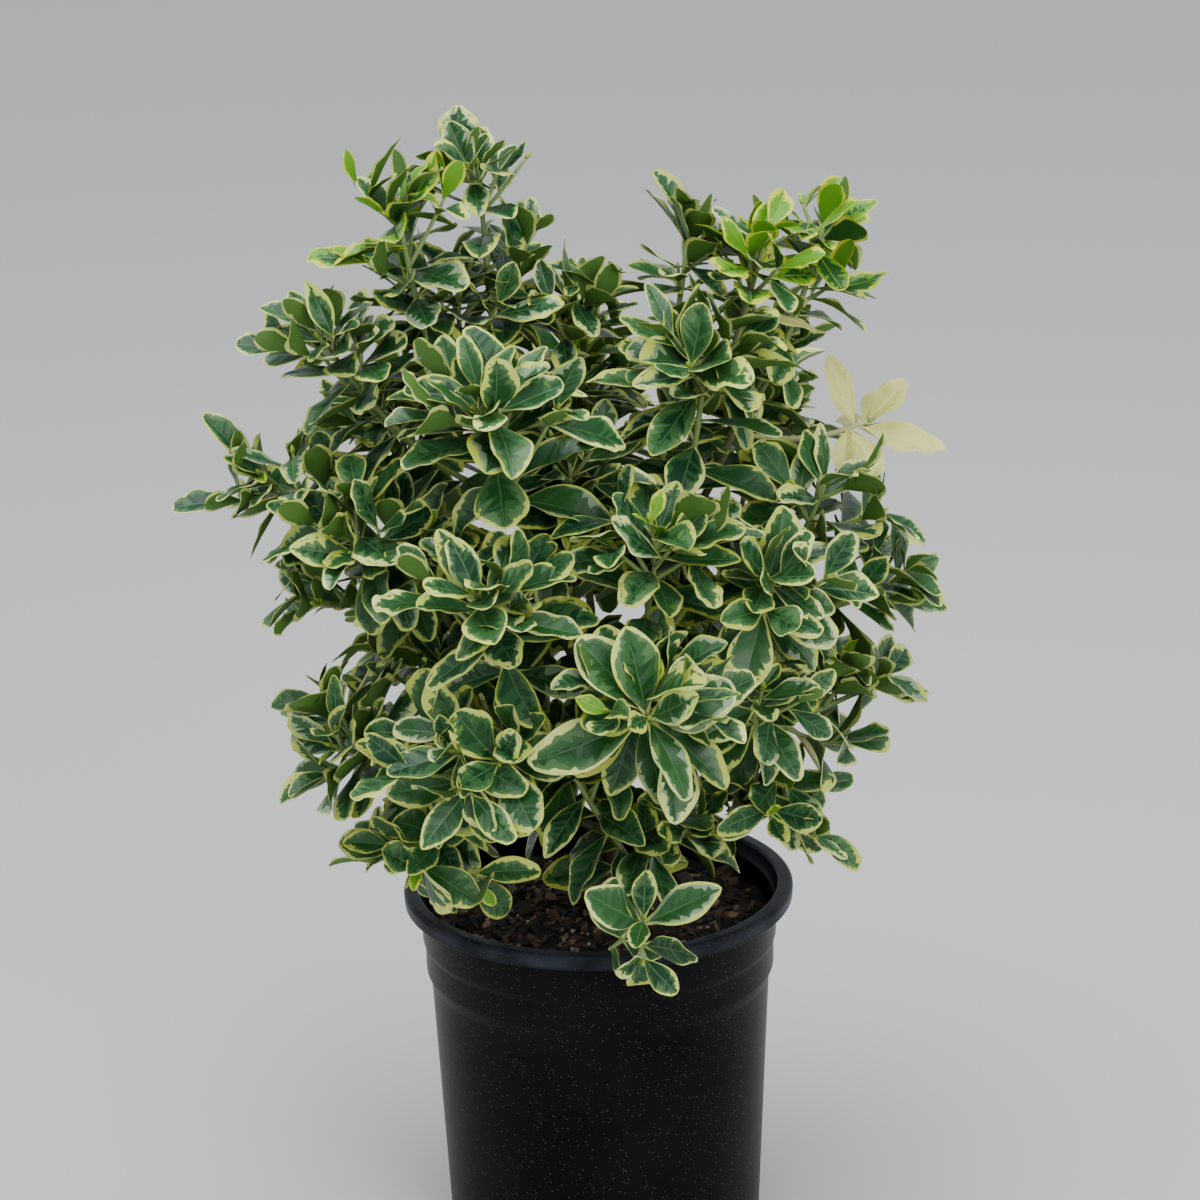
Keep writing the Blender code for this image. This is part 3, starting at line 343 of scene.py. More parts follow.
# The camera stands at the front, 2.9 m away and 1.45 m up, tilted as the photograph is
LENS = 120.0
SENSOR = 36.0
FRAME_PIXELS = 1200
FOCAL_PIXELS = FRAME_PIXELS * LENS / SENSOR
AIM_PIXEL = (591.4, 879.6)
AIM_POINT = np.array((0, 0, POT_HEIGHT))
CAMERA_HEIGHT_ANGLE = math.radians(22.24)
CAMERA_DISTANCE = 3.092
CAMERA_ROLL = math.radians(-1.29)

# The crown's outline with its notches, as the camera sees it, in the same pixels
CROWN_OUTLINE = np.array(
    (
        (458, 108), (492, 131), (549, 140), (512, 180), (574, 232), (610, 264), (649, 245), (680, 268), (683, 246),
        (644, 203), (661, 169), (712, 174), (738, 213), (765, 190), (847, 172), (873, 196), (879, 240), (850, 262),
        (891, 284), (875, 314), (838, 326), (792, 357), (825, 364), (808, 392), (833, 420), (846, 400), (827, 363),
        (841, 355), (865, 379), (904, 381), (895, 424), (949, 452), (941, 464), (880, 450), (888, 470), (904, 490),
        (896, 515), (933, 534), (949, 603), (905, 650), (932, 695), (872, 765), (830, 810), (862, 866), (838, 877),
        (755, 830), (736, 880), (706, 900), (718, 976), (650, 1008), (615, 978), (608, 932), (547, 905), (545, 862),
        (512, 885), (514, 925), (500, 935), (465, 925), (410, 896), (385, 868), (311, 853), (341, 815), (275, 794),
        (293, 741), (270, 698), (300, 672), (325, 655), (332, 632), (355, 639), (369, 623), (325, 606), (275, 652),
        (264, 617), (282, 580), (237, 546), (262, 528), (172, 501), (230, 475), (207, 413), (240, 424), (275, 462),
        (298, 420), (290, 390), (235, 343), (262, 302), (310, 278), (352, 292), (390, 303), (372, 290), (388, 278),
        (308, 250), (378, 236), (324, 160), (389, 133), (433, 145),
    ),
    float,
)


def unit(vector):
    return vector / np.linalg.norm(vector)


def bezier(start, first, second, end, count):
    t = np.linspace(0, 1, count)[:, None]
    return start * (1 - t) ** 3 + 3 * first * t * (1 - t) ** 2 + 3 * second * t**2 * (1 - t) + end * t**3


def curved_route(start, leaving, tip, arriving, count, bend=0):
    """Points of a limb that leaves its start in one direction and comes to its tip in another."""
    reach = np.linalg.norm(tip - start)
    first = start + leaving * reach * LEAVING_HANDLE
    second = tip - arriving * reach * ARRIVING_HANDLE + bend
    return bezier(start, first, second, tip, count)


# Limbs


def along(limb, share):
    """The point, direction and radius at a share of a limb's length."""
    points, radii = limb
    steps = np.linalg.norm(np.diff(points, axis=0), axis=1)
    run = np.concatenate([[0], np.cumsum(steps)]) / steps.sum()
    at = np.array([np.interp(share, run, points[:, i]) for i in range(3)])
    segment = min(np.searchsorted(run, share, side="right"), len(points) - 1)
    return at, unit(points[segment] - points[segment - 1]), np.interp(share, run, radii)


def spread_apart(directions, least):
    """Turns directions away from each other until every pair is at least this angle apart."""
    directions = [unit(d) for d in directions]
    for _ in range(200):
        for i in range(len(directions)):
            for j in range(i):
                a, b = directions[i], directions[j]
                angle = math.acos(np.clip(a @ b, -1, 1))
                if angle < least:
                    push = unit(a - b) * (least - angle) * 0.3
                    directions[i] = unit(a + push)
                    directions[j] = unit(b - push)
    return directions


def side_start(limb, bough):
    """Where a limb's side carries a bough, and the direction in which that one sets off."""
    at, direction, limb_radius = along(limb, bough.share)
    outward = np.array(bough.tip) - at
    outward = unit(outward - (outward @ direction) * direction)
    leaving = outward * math.sin(SIDE_ANGLE) + direction * math.cos(SIDE_ANGLE)
    off = limb_radius + GAP + bough.butt_radius * math.cos(SIDE_ANGLE)
    return at + outward * off, leaving


def stem_route(stem, steps):
    """A stem's points and radii, from the soil up to its fork, with a flare at its foot."""
    points = bezier(*(np.array(p) for p in stem.route), steps)
    flare_top = points[0] + UP * FLARE_HEIGHT * 0.35
    points = np.vstack([points[:1], flare_top, points[1:]])
    radii = np.linspace(stem.foot_radius, stem.tip_radius, len(points))
    radii[0] = stem.flare
    radii[1] = (stem.flare + stem.foot_radius) / 2
    return points, radii


def bough_route(bough, start, leaving, steps):
    """A bough's points and radii: it tapers evenly and turns up towards its tip."""
    tip = np.array(bough.tip)
    arriving = unit(unit(tip - start) + 0.5 * UP)
    points = curved_route(start, leaving, tip, arriving, steps)
    return points, np.linspace(bough.butt_radius, bough.tip_radius, steps)


def limb_routes():
    """Every stem and bough as its points and radii, and where and which way each mass's leader sets off."""
    limbs = {stem.name: stem_route(stem, LIMB_STEPS) for stem in STEMS}
    leaders = {}
    waiting = {name: [] for name in limbs}
    for bough in BOUGHS:
        waiting[bough.name] = []
    for bough in BOUGHS:
        if bough.share == 1.0:
            waiting[bough.parent].append(bough)
    for mass in MASSES:
        waiting[mass.limb].append(mass)
    for name in list(waiting):
        if name not in limbs:
            bough = next(b for b in BOUGHS if b.name == name)
            start, leaving = side_start(limbs[bough.parent], bough)
            limbs[name] = bough_route(bough, start, leaving, LIMB_STEPS)
        end, _, radius = along(limbs[name], 1.0)
        carried = waiting[name]
        targets = [np.array(c.tip if isinstance(c, Bough) else c.centre) - end for c in carried]
        widest = max([c.butt_radius if isinstance(c, Bough) else LEADER_RADII[0] for c in carried], default=0)
        least = 2 * math.atan((widest + GAP) / (radius + GAP))
        for child, leaving in zip(carried, spread_apart(targets, least)):
            start = end + leaving * (radius + GAP)
            if isinstance(child, Bough):
                limbs[child.name] = bough_route(child, start, leaving, LIMB_STEPS)
            else:
                leaders[child.name] = (start, leaving)
    return limbs, leaders


# Foliage


def leader_route(mass, start, leaving, bend):
    """The stem of a mass, from its limb into the middle of its space and on towards its far side."""
    centre = np.array(mass.centre)
    lean = unit(unit(centre - start) + mass.rise * UP)
    tip = centre + lean * np.array(mass.radii) * LEADER_REACH
    return curved_route(start, leaving, tip, lean, len(LEADER_RADII), bend), np.array(LEADER_RADII)


def samples(points, radii, step=0.003):
    """Points every few millimetres along a limb, each with its radius."""
    length = np.linalg.norm(np.diff(points, axis=0), axis=1).sum()
    shares = np.linspace(0, 1, max(2, int(length / step)))
    run = np.concatenate([[0], np.cumsum(np.linalg.norm(np.diff(points, axis=0), axis=1))]) / length
    dense = np.stack([np.interp(shares, run, points[:, i]) for i in range(3)], axis=1)
    return dense, np.interp(shares, run, radii)


def twig_edges(limb):
    points, _ = limb
    return np.stack([points[:-1], points[1:]], axis=1)


Obstacles = namedtuple("Obstacles", "points radii edges")


def obstacles_of(limbs):
    """Limbs as points close together with their radii, and as the straight lines along their middles."""
    limbs = list(limbs)
    points, radii = zip(*(samples(*limb) for limb in limbs))
    edges = [twig_edges(limb) for limb in limbs]
    return Obstacles(np.concatenate(points), np.concatenate(radii), np.concatenate(edges))


def clear_of_limbs(points, obstacles, extra):
    apart = np.linalg.norm(points[:, None, :] - obstacles.points[None], axis=2)
    return bool((apart > obstacles.radii + extra).all())


def leader_routes(limbs, starts):
    """The leaders of all masses, each bent until it passes clear of the limbs and the leaders before it."""
    done = dict(limbs)
    for index, mass in enumerate(MASSES):
        rng = np.random.default_rng(index)
        start, leaving = starts[mass.name]
        others = obstacles_of(done.values())
        for attempt in range(LEADER_TRIES):
            route = leader_route(mass, start, leaving, rng.normal(0, LEADER_BEND * attempt, 3))
            spots, radii = samples(*route)
            if clear_of_limbs(spots[2:], others, radii.max() + CLEAR):
                break
        done[mass.name] = route
    return {mass.name: done[mass.name] for mass in MASSES}


def in_space(points, index, margin, reach=1.0):
    """Whether points lie inside a mass's space and nearer to its middle than to any other mass's."""
    far = (((points[:, None, :] - CENTRES) / RADII) ** 2).sum(axis=2)
    own = far[:, index]
    others = np.delete(far, index, axis=1).min(axis=1)
    return bool((own <= reach).all() and (own + margin <= others).all())


def clear_of_pot(points):
    """Whether points lie over the rim, outside it, or over the soil inside it."""
    out = np.hypot(points[:, 0], points[:, 1])
    over_rim = points[:, 2] > POT_HEIGHT + CLEAR
    outside = out > RIM_RADIUS + CLEAR
    inside = (out < COLLAR_RADIUS - POT_WALL - CLEAR) & (points[:, 2] > SOIL_TOP + CLEAR)
    return bool((over_rim | outside | inside).all())


def camera_frame():
    """The camera's right, up and forward directions and its place, from where the pot's rim shows."""
    yaw = math.atan((AIM_PIXEL[0] - FRAME_PIXELS / 2) / FOCAL_PIXELS)
    pitch = CAMERA_HEIGHT_ANGLE - math.atan((AIM_PIXEL[1] - FRAME_PIXELS / 2) / FOCAL_PIXELS)
    place = np.array((0, -math.cos(CAMERA_HEIGHT_ANGLE), math.sin(CAMERA_HEIGHT_ANGLE))) * CAMERA_DISTANCE + AIM_POINT
    turn = np.array(Matrix.Rotation(yaw, 3, "Z"))
    forward = turn @ np.array((0, math.cos(pitch), -math.sin(pitch)))
    right = unit(np.cross(forward, UP))
    up = np.cross(right, forward)
    roll_right = math.cos(CAMERA_ROLL) * right + math.sin(CAMERA_ROLL) * up
    roll_up = math.cos(CAMERA_ROLL) * up - math.sin(CAMERA_ROLL) * right
    return roll_right, roll_up, forward, place


def within_outline(points):
    """Whether the camera sees all of these points inside the crown's outline."""
    right, up, forward, place = camera_frame()
    away = points - place
    scale = FOCAL_PIXELS / (away @ forward)
    x = (FRAME_PIXELS / 2 + (away @ right) * scale)[:, None]
    y = (FRAME_PIXELS / 2 - (away @ up) * scale)[:, None]
    start, end = CROWN_OUTLINE, np.roll(CROWN_OUTLINE, -1, axis=0)
    level = (start[:, 1] > y) != (end[:, 1] > y)
    crossing = start[:, 0] + (y - start[:, 1]) * (end[:, 0] - start[:, 0]) / (end[:, 1] - start[:, 1])
    return bool(((level & (x < crossing)).sum(axis=1) % 2 == 1).all())


def crosses(segments, triangles):
    """Whether any of these segments runs through any of these triangles."""
    if len(triangles) == 0 or len(segments) == 0:
        return False
    start, way = segments[:, None, 0], segments[:, None, 1] - segments[:, None, 0]
    corner = triangles[None, :, 0]
    side_a, side_b = triangles[None, :, 1] - corner, triangles[None, :, 2] - corner
    across = np.cross(way, side_b)
    turn = (side_a * across).sum(axis=2)
    turn = np.where(np.abs(turn) < 1e-15, 1e-15, turn)
    to_start = start - corner
    u = (to_start * across).sum(axis=2) / turn
    over = np.cross(to_start, side_a)
    v = (way * over).sum(axis=2) / turn
    t = (side_b * over).sum(axis=2) / turn
    return bool(((u >= 0) & (v >= 0) & (u + v <= 1) & (t >= 0) & (t <= 1)).any())


Leaf = namedtuple("Leaf", "root direction normal length node kind")


def leaf_tests(leaf):
    """Points, edges and triangles of a leaf, for the tests of what it would touch."""
    side = np.cross(leaf.direction, leaf.normal)
    middle = leaf.root + (leaf.direction * LEAF_WIDEST + leaf.normal * LEAF_THICKNESS) * leaf.length
    half = side * leaf.length * LEAF_WIDTH * 0.55
    near = leaf.root + (middle - leaf.root) * 0.25
    tip = leaf.root + leaf.direction * leaf.length
    outline = ((near, middle - half), (middle - half, tip), (tip, middle + half), (middle + half, near))
    edges = np.array(outline + ((near, tip), (middle - half, middle + half)))
    triangles = np.array([(a, b, middle) for a, b in outline])
    return edges.reshape(-1, 3), edges, triangles


def leaf_at(rng, at, axis, turn, node, length, kind, attempt):
    """A leaf set off from a shoot, its upper face to the shoot's tip, to the light and out of the crown."""
    helper = UP if abs(axis[2]) < 0.9 else np.array((1.0, 0.0, 0.0))
    first = unit(np.cross(axis, helper))
    second = np.cross(axis, first)
    outward = first * math.cos(turn) + second * math.sin(turn)
    polar = LEAF_POLAR[node] + rng.normal(0, 0.12 + 0.03 * attempt)
    direction = unit(axis * math.cos(polar) + outward * math.sin(polar) - LEAF_DROOP[node] * UP)
    out = np.array((at[0], at[1], 0.0)) / CROWN_RADIUS
    own = axis * math.sin(polar) - outward * math.cos(polar)
    normal = own + LIGHT_FROM_ABOVE * UP + LIGHT_FROM_SIDE * out + rng.normal(0, 0.22, 3)
    normal = unit(normal - (normal @ direction) * direction)
    return Leaf(at, direction, normal, length, node, kind)


class Crown:
    """The leaves and twigs grown so far, and the test of whether one more leaf has room among them."""

    def __init__(self, limb_edges):
        self.leaves = []
        self.owners = []
        self.middles = np.empty((0, 3))
        self.edges = np.empty((0, 6, 2, 3))
        self.faces = np.empty((0, 4, 3, 3))
        self.twigs = limb_edges

    def has_room(self, spots, edges, faces):
        middle = spots.mean(axis=0)
        apart = np.linalg.norm(self.middles - middle, axis=1)
        if apart.min(initial=NEARBY) < LEAF_APART:
            return False
        near = apart < NEARBY
        if crosses(edges, self.faces[near].reshape(-1, 3, 3)):
            return False
        if crosses(self.edges[near].reshape(-1, 2, 3), faces):
            return False
        close = np.linalg.norm(self.twigs.mean(axis=1) - middle, axis=1) < NEARBY
        return not crosses(self.twigs[close], faces)

    def add(self, leaf, owner, spots, edges, faces):
        self.leaves.append(leaf)
        self.owners.append(owner)
        self.middles = np.vstack([self.middles, spots.mean(axis=0)])
        self.edges = np.concatenate([self.edges, edges[None]])
        self.faces = np.concatenate([self.faces, faces[None]])


def leaf_kind(rng, mass, node):
    """Young leaves at the tips of bright shoots are lime green, and a cream shoot has cream leaves."""
    if mass.kind == "cream":
        return "cream"
    if node == 0 and rng.random() < YOUNG_SHARES[mass.kind]:
        return "lime"
    if mass.kind == "bright" and node < 3 and rng.random() < GOLD_SHARE:
        return "gold"
    return "cream" if node >= CREAM_FROM_NODE and rng.random() < CREAM_SHARE else "green"


def shoot_leaves(rng, shoot, nodes, index, crown, margin=LEAF_MARGIN, space=LEAF_SPACE):
    """Pairs of leaves down a shoot, each pair crosswise to the last, where there is room for them."""
    mass = MASSES[index]
    points, radii = shoot
    reach = np.linalg.norm(np.diff(points, axis=0), axis=1).sum()
    turn = rng.uniform(0, math.pi)
    for node in nodes:
        share = 1 - LEAF_NODES[node] / reach
        if share < 0.12:
            break
        at, axis, _ = along((points, radii), share)
        for side in range(2):
            wanted = turn + node * math.pi / 2 + side * math.pi
            kind = leaf_kind(rng, mass, node)
            full = mass.leaf * LEAF_SIZE[node] * rng.uniform(0.86, 1.14)
            if kind == "lime" and mass.kind != "bright":
                full *= YOUNG_SIZE
            for attempt in range(LEAF_TRIES):
                swing = rng.normal(0, 0.08 + 0.07 * attempt)
                length = full * (1 - 0.02 * attempt)
                leaf = leaf_at(rng, at, axis, wanted + swing, node, length, kind, attempt)
                spots, edges, faces = leaf_tests(leaf)
                if not in_space(spots, index, margin, space) or not clear_of_pot(spots):
                    continue
                if not within_outline(np.vstack([spots, edges.mean(axis=1)])):
                    continue
                if crown.has_room(spots, edges, faces):
                    crown.add(leaf, mass.name, spots, edges, faces)
                    break


def end_leaf(shoot, tip, facing, kind, index, crown, down=0.0):
    """A leaf from near the end of a shoot to a tip of its own, its upper face turned one way."""
    points, _ = shoot
    root = points[-1] - unit(points[-1] - points[-2]) * down
    reach = np.array(tip) - root
    length = np.linalg.norm(reach)
    direction = reach / length
    normal = unit(facing - (facing @ direction) * direction)
    leaf = Leaf(root, direction, normal, length, 0, kind)
    crown.add(leaf, MASSES[index].name, *leaf_tests(leaf))


def shoot_route(leader, target):
    """A side shoot: it leaves the leader where its slant is most natural, and turns up to the light."""
    best = None
    for share in np.linspace(*SHOOT_SPAN, 9):
        at, axis, _ = along(leader, share)
        miss = abs(math.acos(np.clip(unit(target - at) @ axis, -1, 1)) - SHOOT_ANGLE)
        if best is None or miss < best[0]:
            best = (miss, at, axis)
    _, at, axis = best
    way = unit(target - at)
    points = curved_route(at, unit(way + 0.5 * axis), target, unit(way + SHOOT_TURN_UP * UP), len(SHOOT_RADII))
    return points, np.array(SHOOT_RADII)


def spread_directions(count, spin):
    """Directions spread evenly over a ball, from its top down."""
    for k in range(count):
        height = 1 - 2 * (k + 0.5) / count
        flat = math.sqrt(1 - height * height)
        turn = GOLDEN_ANGLE * k + spin
        yield np.array((flat * math.cos(turn), flat * math.sin(turn), height))


def grow_shoots(rng, index, leader, obstacles):
    """The shoots that branch from one mass's leader, spread over its space."""
    mass = MASSES[index]
    centre, radii = np.array(mass.centre), np.array(mass.radii)
    back = unit(leader[0][0] - centre)
    size = (radii.prod() ** (1 / 3) / FULL_MASS_RADIUS) ** 2
    if mass.name.startswith("back"):
        size *= BACK_FULLNESS
    count = OPEN_SHOOTS if mass.kind in OPEN_KINDS else max(LEAST_SHOOTS, round(SHOOTS_IN_FULL_MASS * size))
    shoots = []
    for tip, _ in AIMED_SHOOTS.get(mass.name, ()):
        shoot = shoot_route(leader, np.array(tip))
        dense, _ = samples(*shoot)
        if within_outline(dense) and clear_of_limbs(dense, obstacles, max(SHOOT_RADII)):
            shoots.append(shoot)
    for way in spread_directions(2 * count, rng.uniform(0, 2 * math.pi)):
        way = unit(way + SHOOT_LIFT * UP)
        if way @ back > BACKWARD or len(shoots) >= count:
            continue
        reach = rng.uniform(*SHOOT_REACH)
        for shorter in SHOOT_SHORTER:
            shoot = shoot_route(leader, centre + way * radii * reach * shorter)
            dense, _ = samples(*shoot)
            if within_outline(dense):
                break
        if not in_space(dense[len(dense) // 3 :], index, TWIG_MARGIN) or not clear_of_pot(dense):
            continue
        if clear_of_limbs(dense, obstacles, max(SHOOT_RADII)):
            shoots.append(shoot)
    return shoots


def grow_crown():
    """All limbs, leaders, shoots and leaves."""
    limbs, starts = limb_routes()
    leaders = leader_routes(limbs, starts)
    routes = {**limbs, **leaders}
    shoots = {}
    for index, mass in enumerate(MASSES):
        rng = np.random.default_rng(FOLIAGE_SEED + index)
        others = obstacles_of(route for name, route in routes.items() if name != mass.name)
        grown = mass.kind != "cream"
        shoots[mass.name] = grow_shoots(rng, index, leaders[mass.name], others) if grown else []
    twigs = [leaders[mass.name] for mass in MASSES] + [s for group in shoots.values() for s in group]
    crown = Crown(np.concatenate([twig_edges(limb) for limb in list(limbs.values()) + twigs]))
    for index, mass in enumerate(MASSES):
        rng = np.random.default_rng(2 * FOLIAGE_SEED + index)
        if mass.kind == "cream":
            for down, tip, facing in CREAM_LEAVES:
                end_leaf(leaders[mass.name], tip, facing, "cream", index, crown, down)
            continue
        aims = AIMED_SHOOTS.get(mass.name, ())
        aimed = len(aims)
        for shoot, (_, leaf_tip) in zip(shoots[mass.name], aims):
            if leaf_tip is not None:
                kind = "gold" if mass.kind == "bright" else "green"
                end_leaf(shoot, leaf_tip, END_FACING, kind, index, crown)
            shoot_leaves(rng, shoot, AIMED_NODES, index, crown)
        shoot_leaves(rng, leaders[mass.name], OPEN_NODES if mass.kind == "open" else LEADER_NODES, index, crown)
        for shoot in shoots[mass.name][aimed:]:
            few = OPEN_NODES if mass.kind == "open" else range(rng.integers(*MOST_SHOOT_NODES))
            shoot_leaves(rng, shoot, few, index, crown)
    for index, mass in enumerate(MASSES):
        rng = np.random.default_rng(3 * FOLIAGE_SEED + index)
        if mass.kind not in OPEN_KINDS:
            shoot_leaves(rng, leaders[mass.name], INNER_NODES, index, crown, INNER_MARGIN, INNER_SPACE)
            shoot_leaves(rng, limbs[mass.limb], BOUGH_NODES, index, crown, INNER_MARGIN, INNER_SPACE)
    return limbs, leaders, shoots, crown


# Leaf meshes


def outline_width(u, skew, roundness):
    """Half the blade's width at each share of its length, as a share of the greatest: wedge base, round tip."""
    return np.sin(math.pi * np.clip(u, 0, 0.9995) ** skew) ** (1 - roundness * u)


def blade_rows(rng):
    """How far down the blade each row starts at the rib, as shares of its length: closer together at the tip."""
    rows = 1 - (1 - np.linspace(0, 1, BLADE_ROWS)) ** ROW_CROWDING
    rows[1:-1] += rng.normal(0, ROW_JITTER, BLADE_ROWS - 2)
    return rows


def soft_noise(rng, spread, knots=5):
    """A factor that wanders slowly along a leaf's rows."""
    return np.interp(np.linspace(0, 1, LEAF_ROWS), np.linspace(0, 1, knots), rng.lognormal(0, spread, knots))


def strip_borders(rng, half, blade):
    """Where the strips' borders lie across each row, as shares of its half width.

    From the edge inward come cream, pale, middling and dark strips up to the rib, feathered row by row.
    """
    places = np.zeros((LEAF_ROWS, UPPER_STRIPS + 1))
    usual = np.clip(rng.normal(MARGIN, MARGIN_SPREAD), 0.07, 0.42)
    faded = rng.lognormal(0, 0.45)
    widen = half.max() / half
    for sign, cols in ((-1, (0, 1, 2, 3, 4)), (1, (9, 8, 7, 6, 5))):
        breadth = np.clip(usual * rng.lognormal(0, 0.28), 0.05, 0.60) * (0.45 + 0.65 * blade)
        margin = breadth * soft_noise(rng, 0.25) * rng.lognormal(0, 0.24, LEAF_ROWS)
        pale = PALE_STREAK * faded * soft_noise(rng, 0.45) * rng.lognormal(0, 0.80, LEAF_ROWS)
        middling = MID_STREAK * faded * soft_noise(rng, 0.35) * rng.lognormal(0, 0.80, LEAF_ROWS)
        rim = 1 - np.clip(margin * widen, 0.05, 0.88)
        blend = np.maximum(rim - pale * widen, rim * 0.30)
        inner = np.maximum(blend - middling * widen, blend * 0.25)
        rib = np.minimum(RIB_WIDTH * (1 - 0.6 * blade) / half, inner * 0.5)
        for col, value in zip(cols, (np.ones(LEAF_ROWS), rim, blend, inner, rib)):
            places[:, col] = sign * value
    return places


def bent_blade(leaf, places, half, run, blade, bends):
    """Points of a blade at these places across its rows: folded at the rib, arched, curled, waved and twisted."""
    spread = np.abs(places)
    reach = run[:, None]
    long = leaf.length
    y = reach * long + VEIN_SLANT * half[:, None] * spread * (1 - blade[:, None] ** 3)
    x = places * half[:, None]
    z = bends.fold * np.abs(x) - bends.arch * long * reach**2 - bends.curl * half[:, None] * spread**3
    left = np.sin(2 * math.pi * bends.waves[0] * reach + bends.phases[0])
    right = np.sin(2 * math.pi * bends.waves[1] * reach + bends.phases[1])
    z = z + bends.wave * long * np.where(places < 0, left, right) * spread**2 * (half / half.max())[:, None]
    turn = bends.twist * (reach - 0.3)
    x, z = x * np.cos(turn) - z * np.sin(turn), x * np.sin(turn) + z * np.cos(turn)
    return np.stack([x + bends.sway * long * reach**2, y, z], axis=2)


Bends = namedtuple("Bends", "fold arch curl wave waves phases twist sway")


def leaf_shape(rng, leaf):
    """The upper and lower vertices of a leaf, row by row from its stalk to its tip."""
    u = blade_rows(rng)
    breadth = (CREAM_LEAF_WIDTH if leaf.kind == "cream" else LEAF_WIDTH) + rng.normal(0, WIDTH_SPREAD)
    outline = outline_width(u, rng.uniform(0.58, 0.78), rng.uniform(0.46, 0.74))
    width = outline * leaf.length * breadth / 2 * (1 + rng.normal(0, 0.006, len(u)))
    stalk = np.linspace(0, STALK_LENGTH, STALK_ROWS, endpoint=False)
    blade = np.concatenate([np.zeros(STALK_ROWS), u])
    run = np.concatenate([stalk, STALK_LENGTH + u * (1 - STALK_LENGTH)])
    half = np.concatenate([np.full(STALK_ROWS, STALK_WIDTH), np.maximum(width, 0.0007)])
    bends = Bends(
        fold=rng.uniform(0.05, 0.38),
        arch=rng.normal(0.10, 0.12) + 0.03 * leaf.node,
        curl=rng.uniform(-0.05, 0.28),
        wave=rng.uniform(0.008, 0.034),
        waves=rng.uniform(1.2, 2.4, 2),
        phases=rng.uniform(0, 2 * math.pi, 2),
        twist=rng.normal(0, 0.30),
        sway=rng.normal(0, 0.05),
    )
    places = strip_borders(rng, half, blade)
    upper = bent_blade(leaf, places, half, run, blade, bends)
    on_blade = (blade > 0)[:, None]
    upper[:, :, 2] += rng.normal(0, 0.00009, (LEAF_ROWS, 1)) * np.sin(np.abs(places) * math.pi) * on_blade
    upper[:, :, 2] -= 0.0004 * (np.abs(places) < 0.1) * on_blade
    under = np.tile(np.array(UNDER_PLACES, float), (len(UNDER_ROWS), 1))
    lower = bent_blade(leaf, under, half[UNDER_ROWS], run[UNDER_ROWS], blade[UNDER_ROWS], bends)
    lower[:, :, 2] -= np.array((0.0005, 0.0012, 0.0005)) * (1 - 0.6 * run[UNDER_ROWS, None])
    return upper, lower


UNDER_ROWS = np.append(np.arange(0, LEAF_ROWS - 1, UNDER_STEP), LEAF_ROWS - 1)


def leaf_topology():
    """Faces of one leaf over its upper vertices and, after them, its lower ones; the two sides share the rim."""
    cols = UPPER_STRIPS + 1
    top = np.arange(LEAF_ROWS * cols).reshape(LEAF_ROWS, cols)
    under = np.arange(len(UNDER_ROWS) * len(UNDER_PLACES)).reshape(len(UNDER_ROWS), -1) + top.size
    faces = np.stack([top[:-1, :-1], top[:-1, 1:], top[1:, 1:], top[1:, :-1]], axis=2).reshape(-1, 4).tolist()
    for k, (row, after) in enumerate(zip(UNDER_ROWS[:-1], UNDER_ROWS[1:])):
        left, right = top[row : after + 1, 0].tolist(), top[row : after + 1, -1].tolist()
        near, far = under[k].tolist(), under[k + 1].tolist()
        faces.append(left + [far[0], near[0]])
        faces.append([near[0], far[0], far[1], near[1]])
        faces.append([near[1], far[1], far[2], near[2]])
        faces.append([near[2], far[2]] + right[::-1])
    return faces


LEAF_FACES = leaf_topology()


def leaf_colours(rng, leaf):
    """The palette's entry for each face: cream margin, pale and middling streaks, dark middle and pale rib."""
    if leaf.kind == "lime":
        strips = ("lime_rim", "lime_b", "lime_a", "lime_a", "lime_b")
    elif leaf.kind == "gold":
        strips = ("lime_rim", "lime_b", "lime_a", "dark_b", "lime_b")
    elif leaf.kind == "cream":
        strips = ("ivory_a", "ivory_a", "ivory_b", "ivory_a", "cream_b")
    else:
        shade = ("dark_a", "dark_b", "dark_c")[rng.choice(3, p=(0.45, 0.30, 0.25))]
        margin = ("cream_a", "cream_b", "cream_c")[rng.choice(3, p=(0.48, 0.27, 0.25))]
        inside = "pale" if rng.random() < 0.25 else "mid_b"
        strips = (margin, inside, "mid_a", shade, "rib")
    numbers = [SLOTS.index(name) for name in strips + strips[-2::-1]]
    above = np.tile(numbers, (LEAF_ROWS - 1, 1))
    under = [numbers[0], numbers[3], numbers[3], numbers[0]]
    if leaf.kind == "green":
        for col in (3, 5):
            above[rng.random(LEAF_ROWS - 1) < STREAK_SHARE, col] = SLOTS.index("vein")
        rim, middle = SLOTS.index("under_cream"), SLOTS.index("under_green")
        under = [rim, middle, middle, rim]
    above[-1, :] = numbers[0]
    above[:STALK_ROWS] = SLOTS.index("stalk" if leaf.kind == "green" else strips[-1])
    return np.concatenate([above.ravel(), np.tile(under, len(UNDER_ROWS) - 1)])


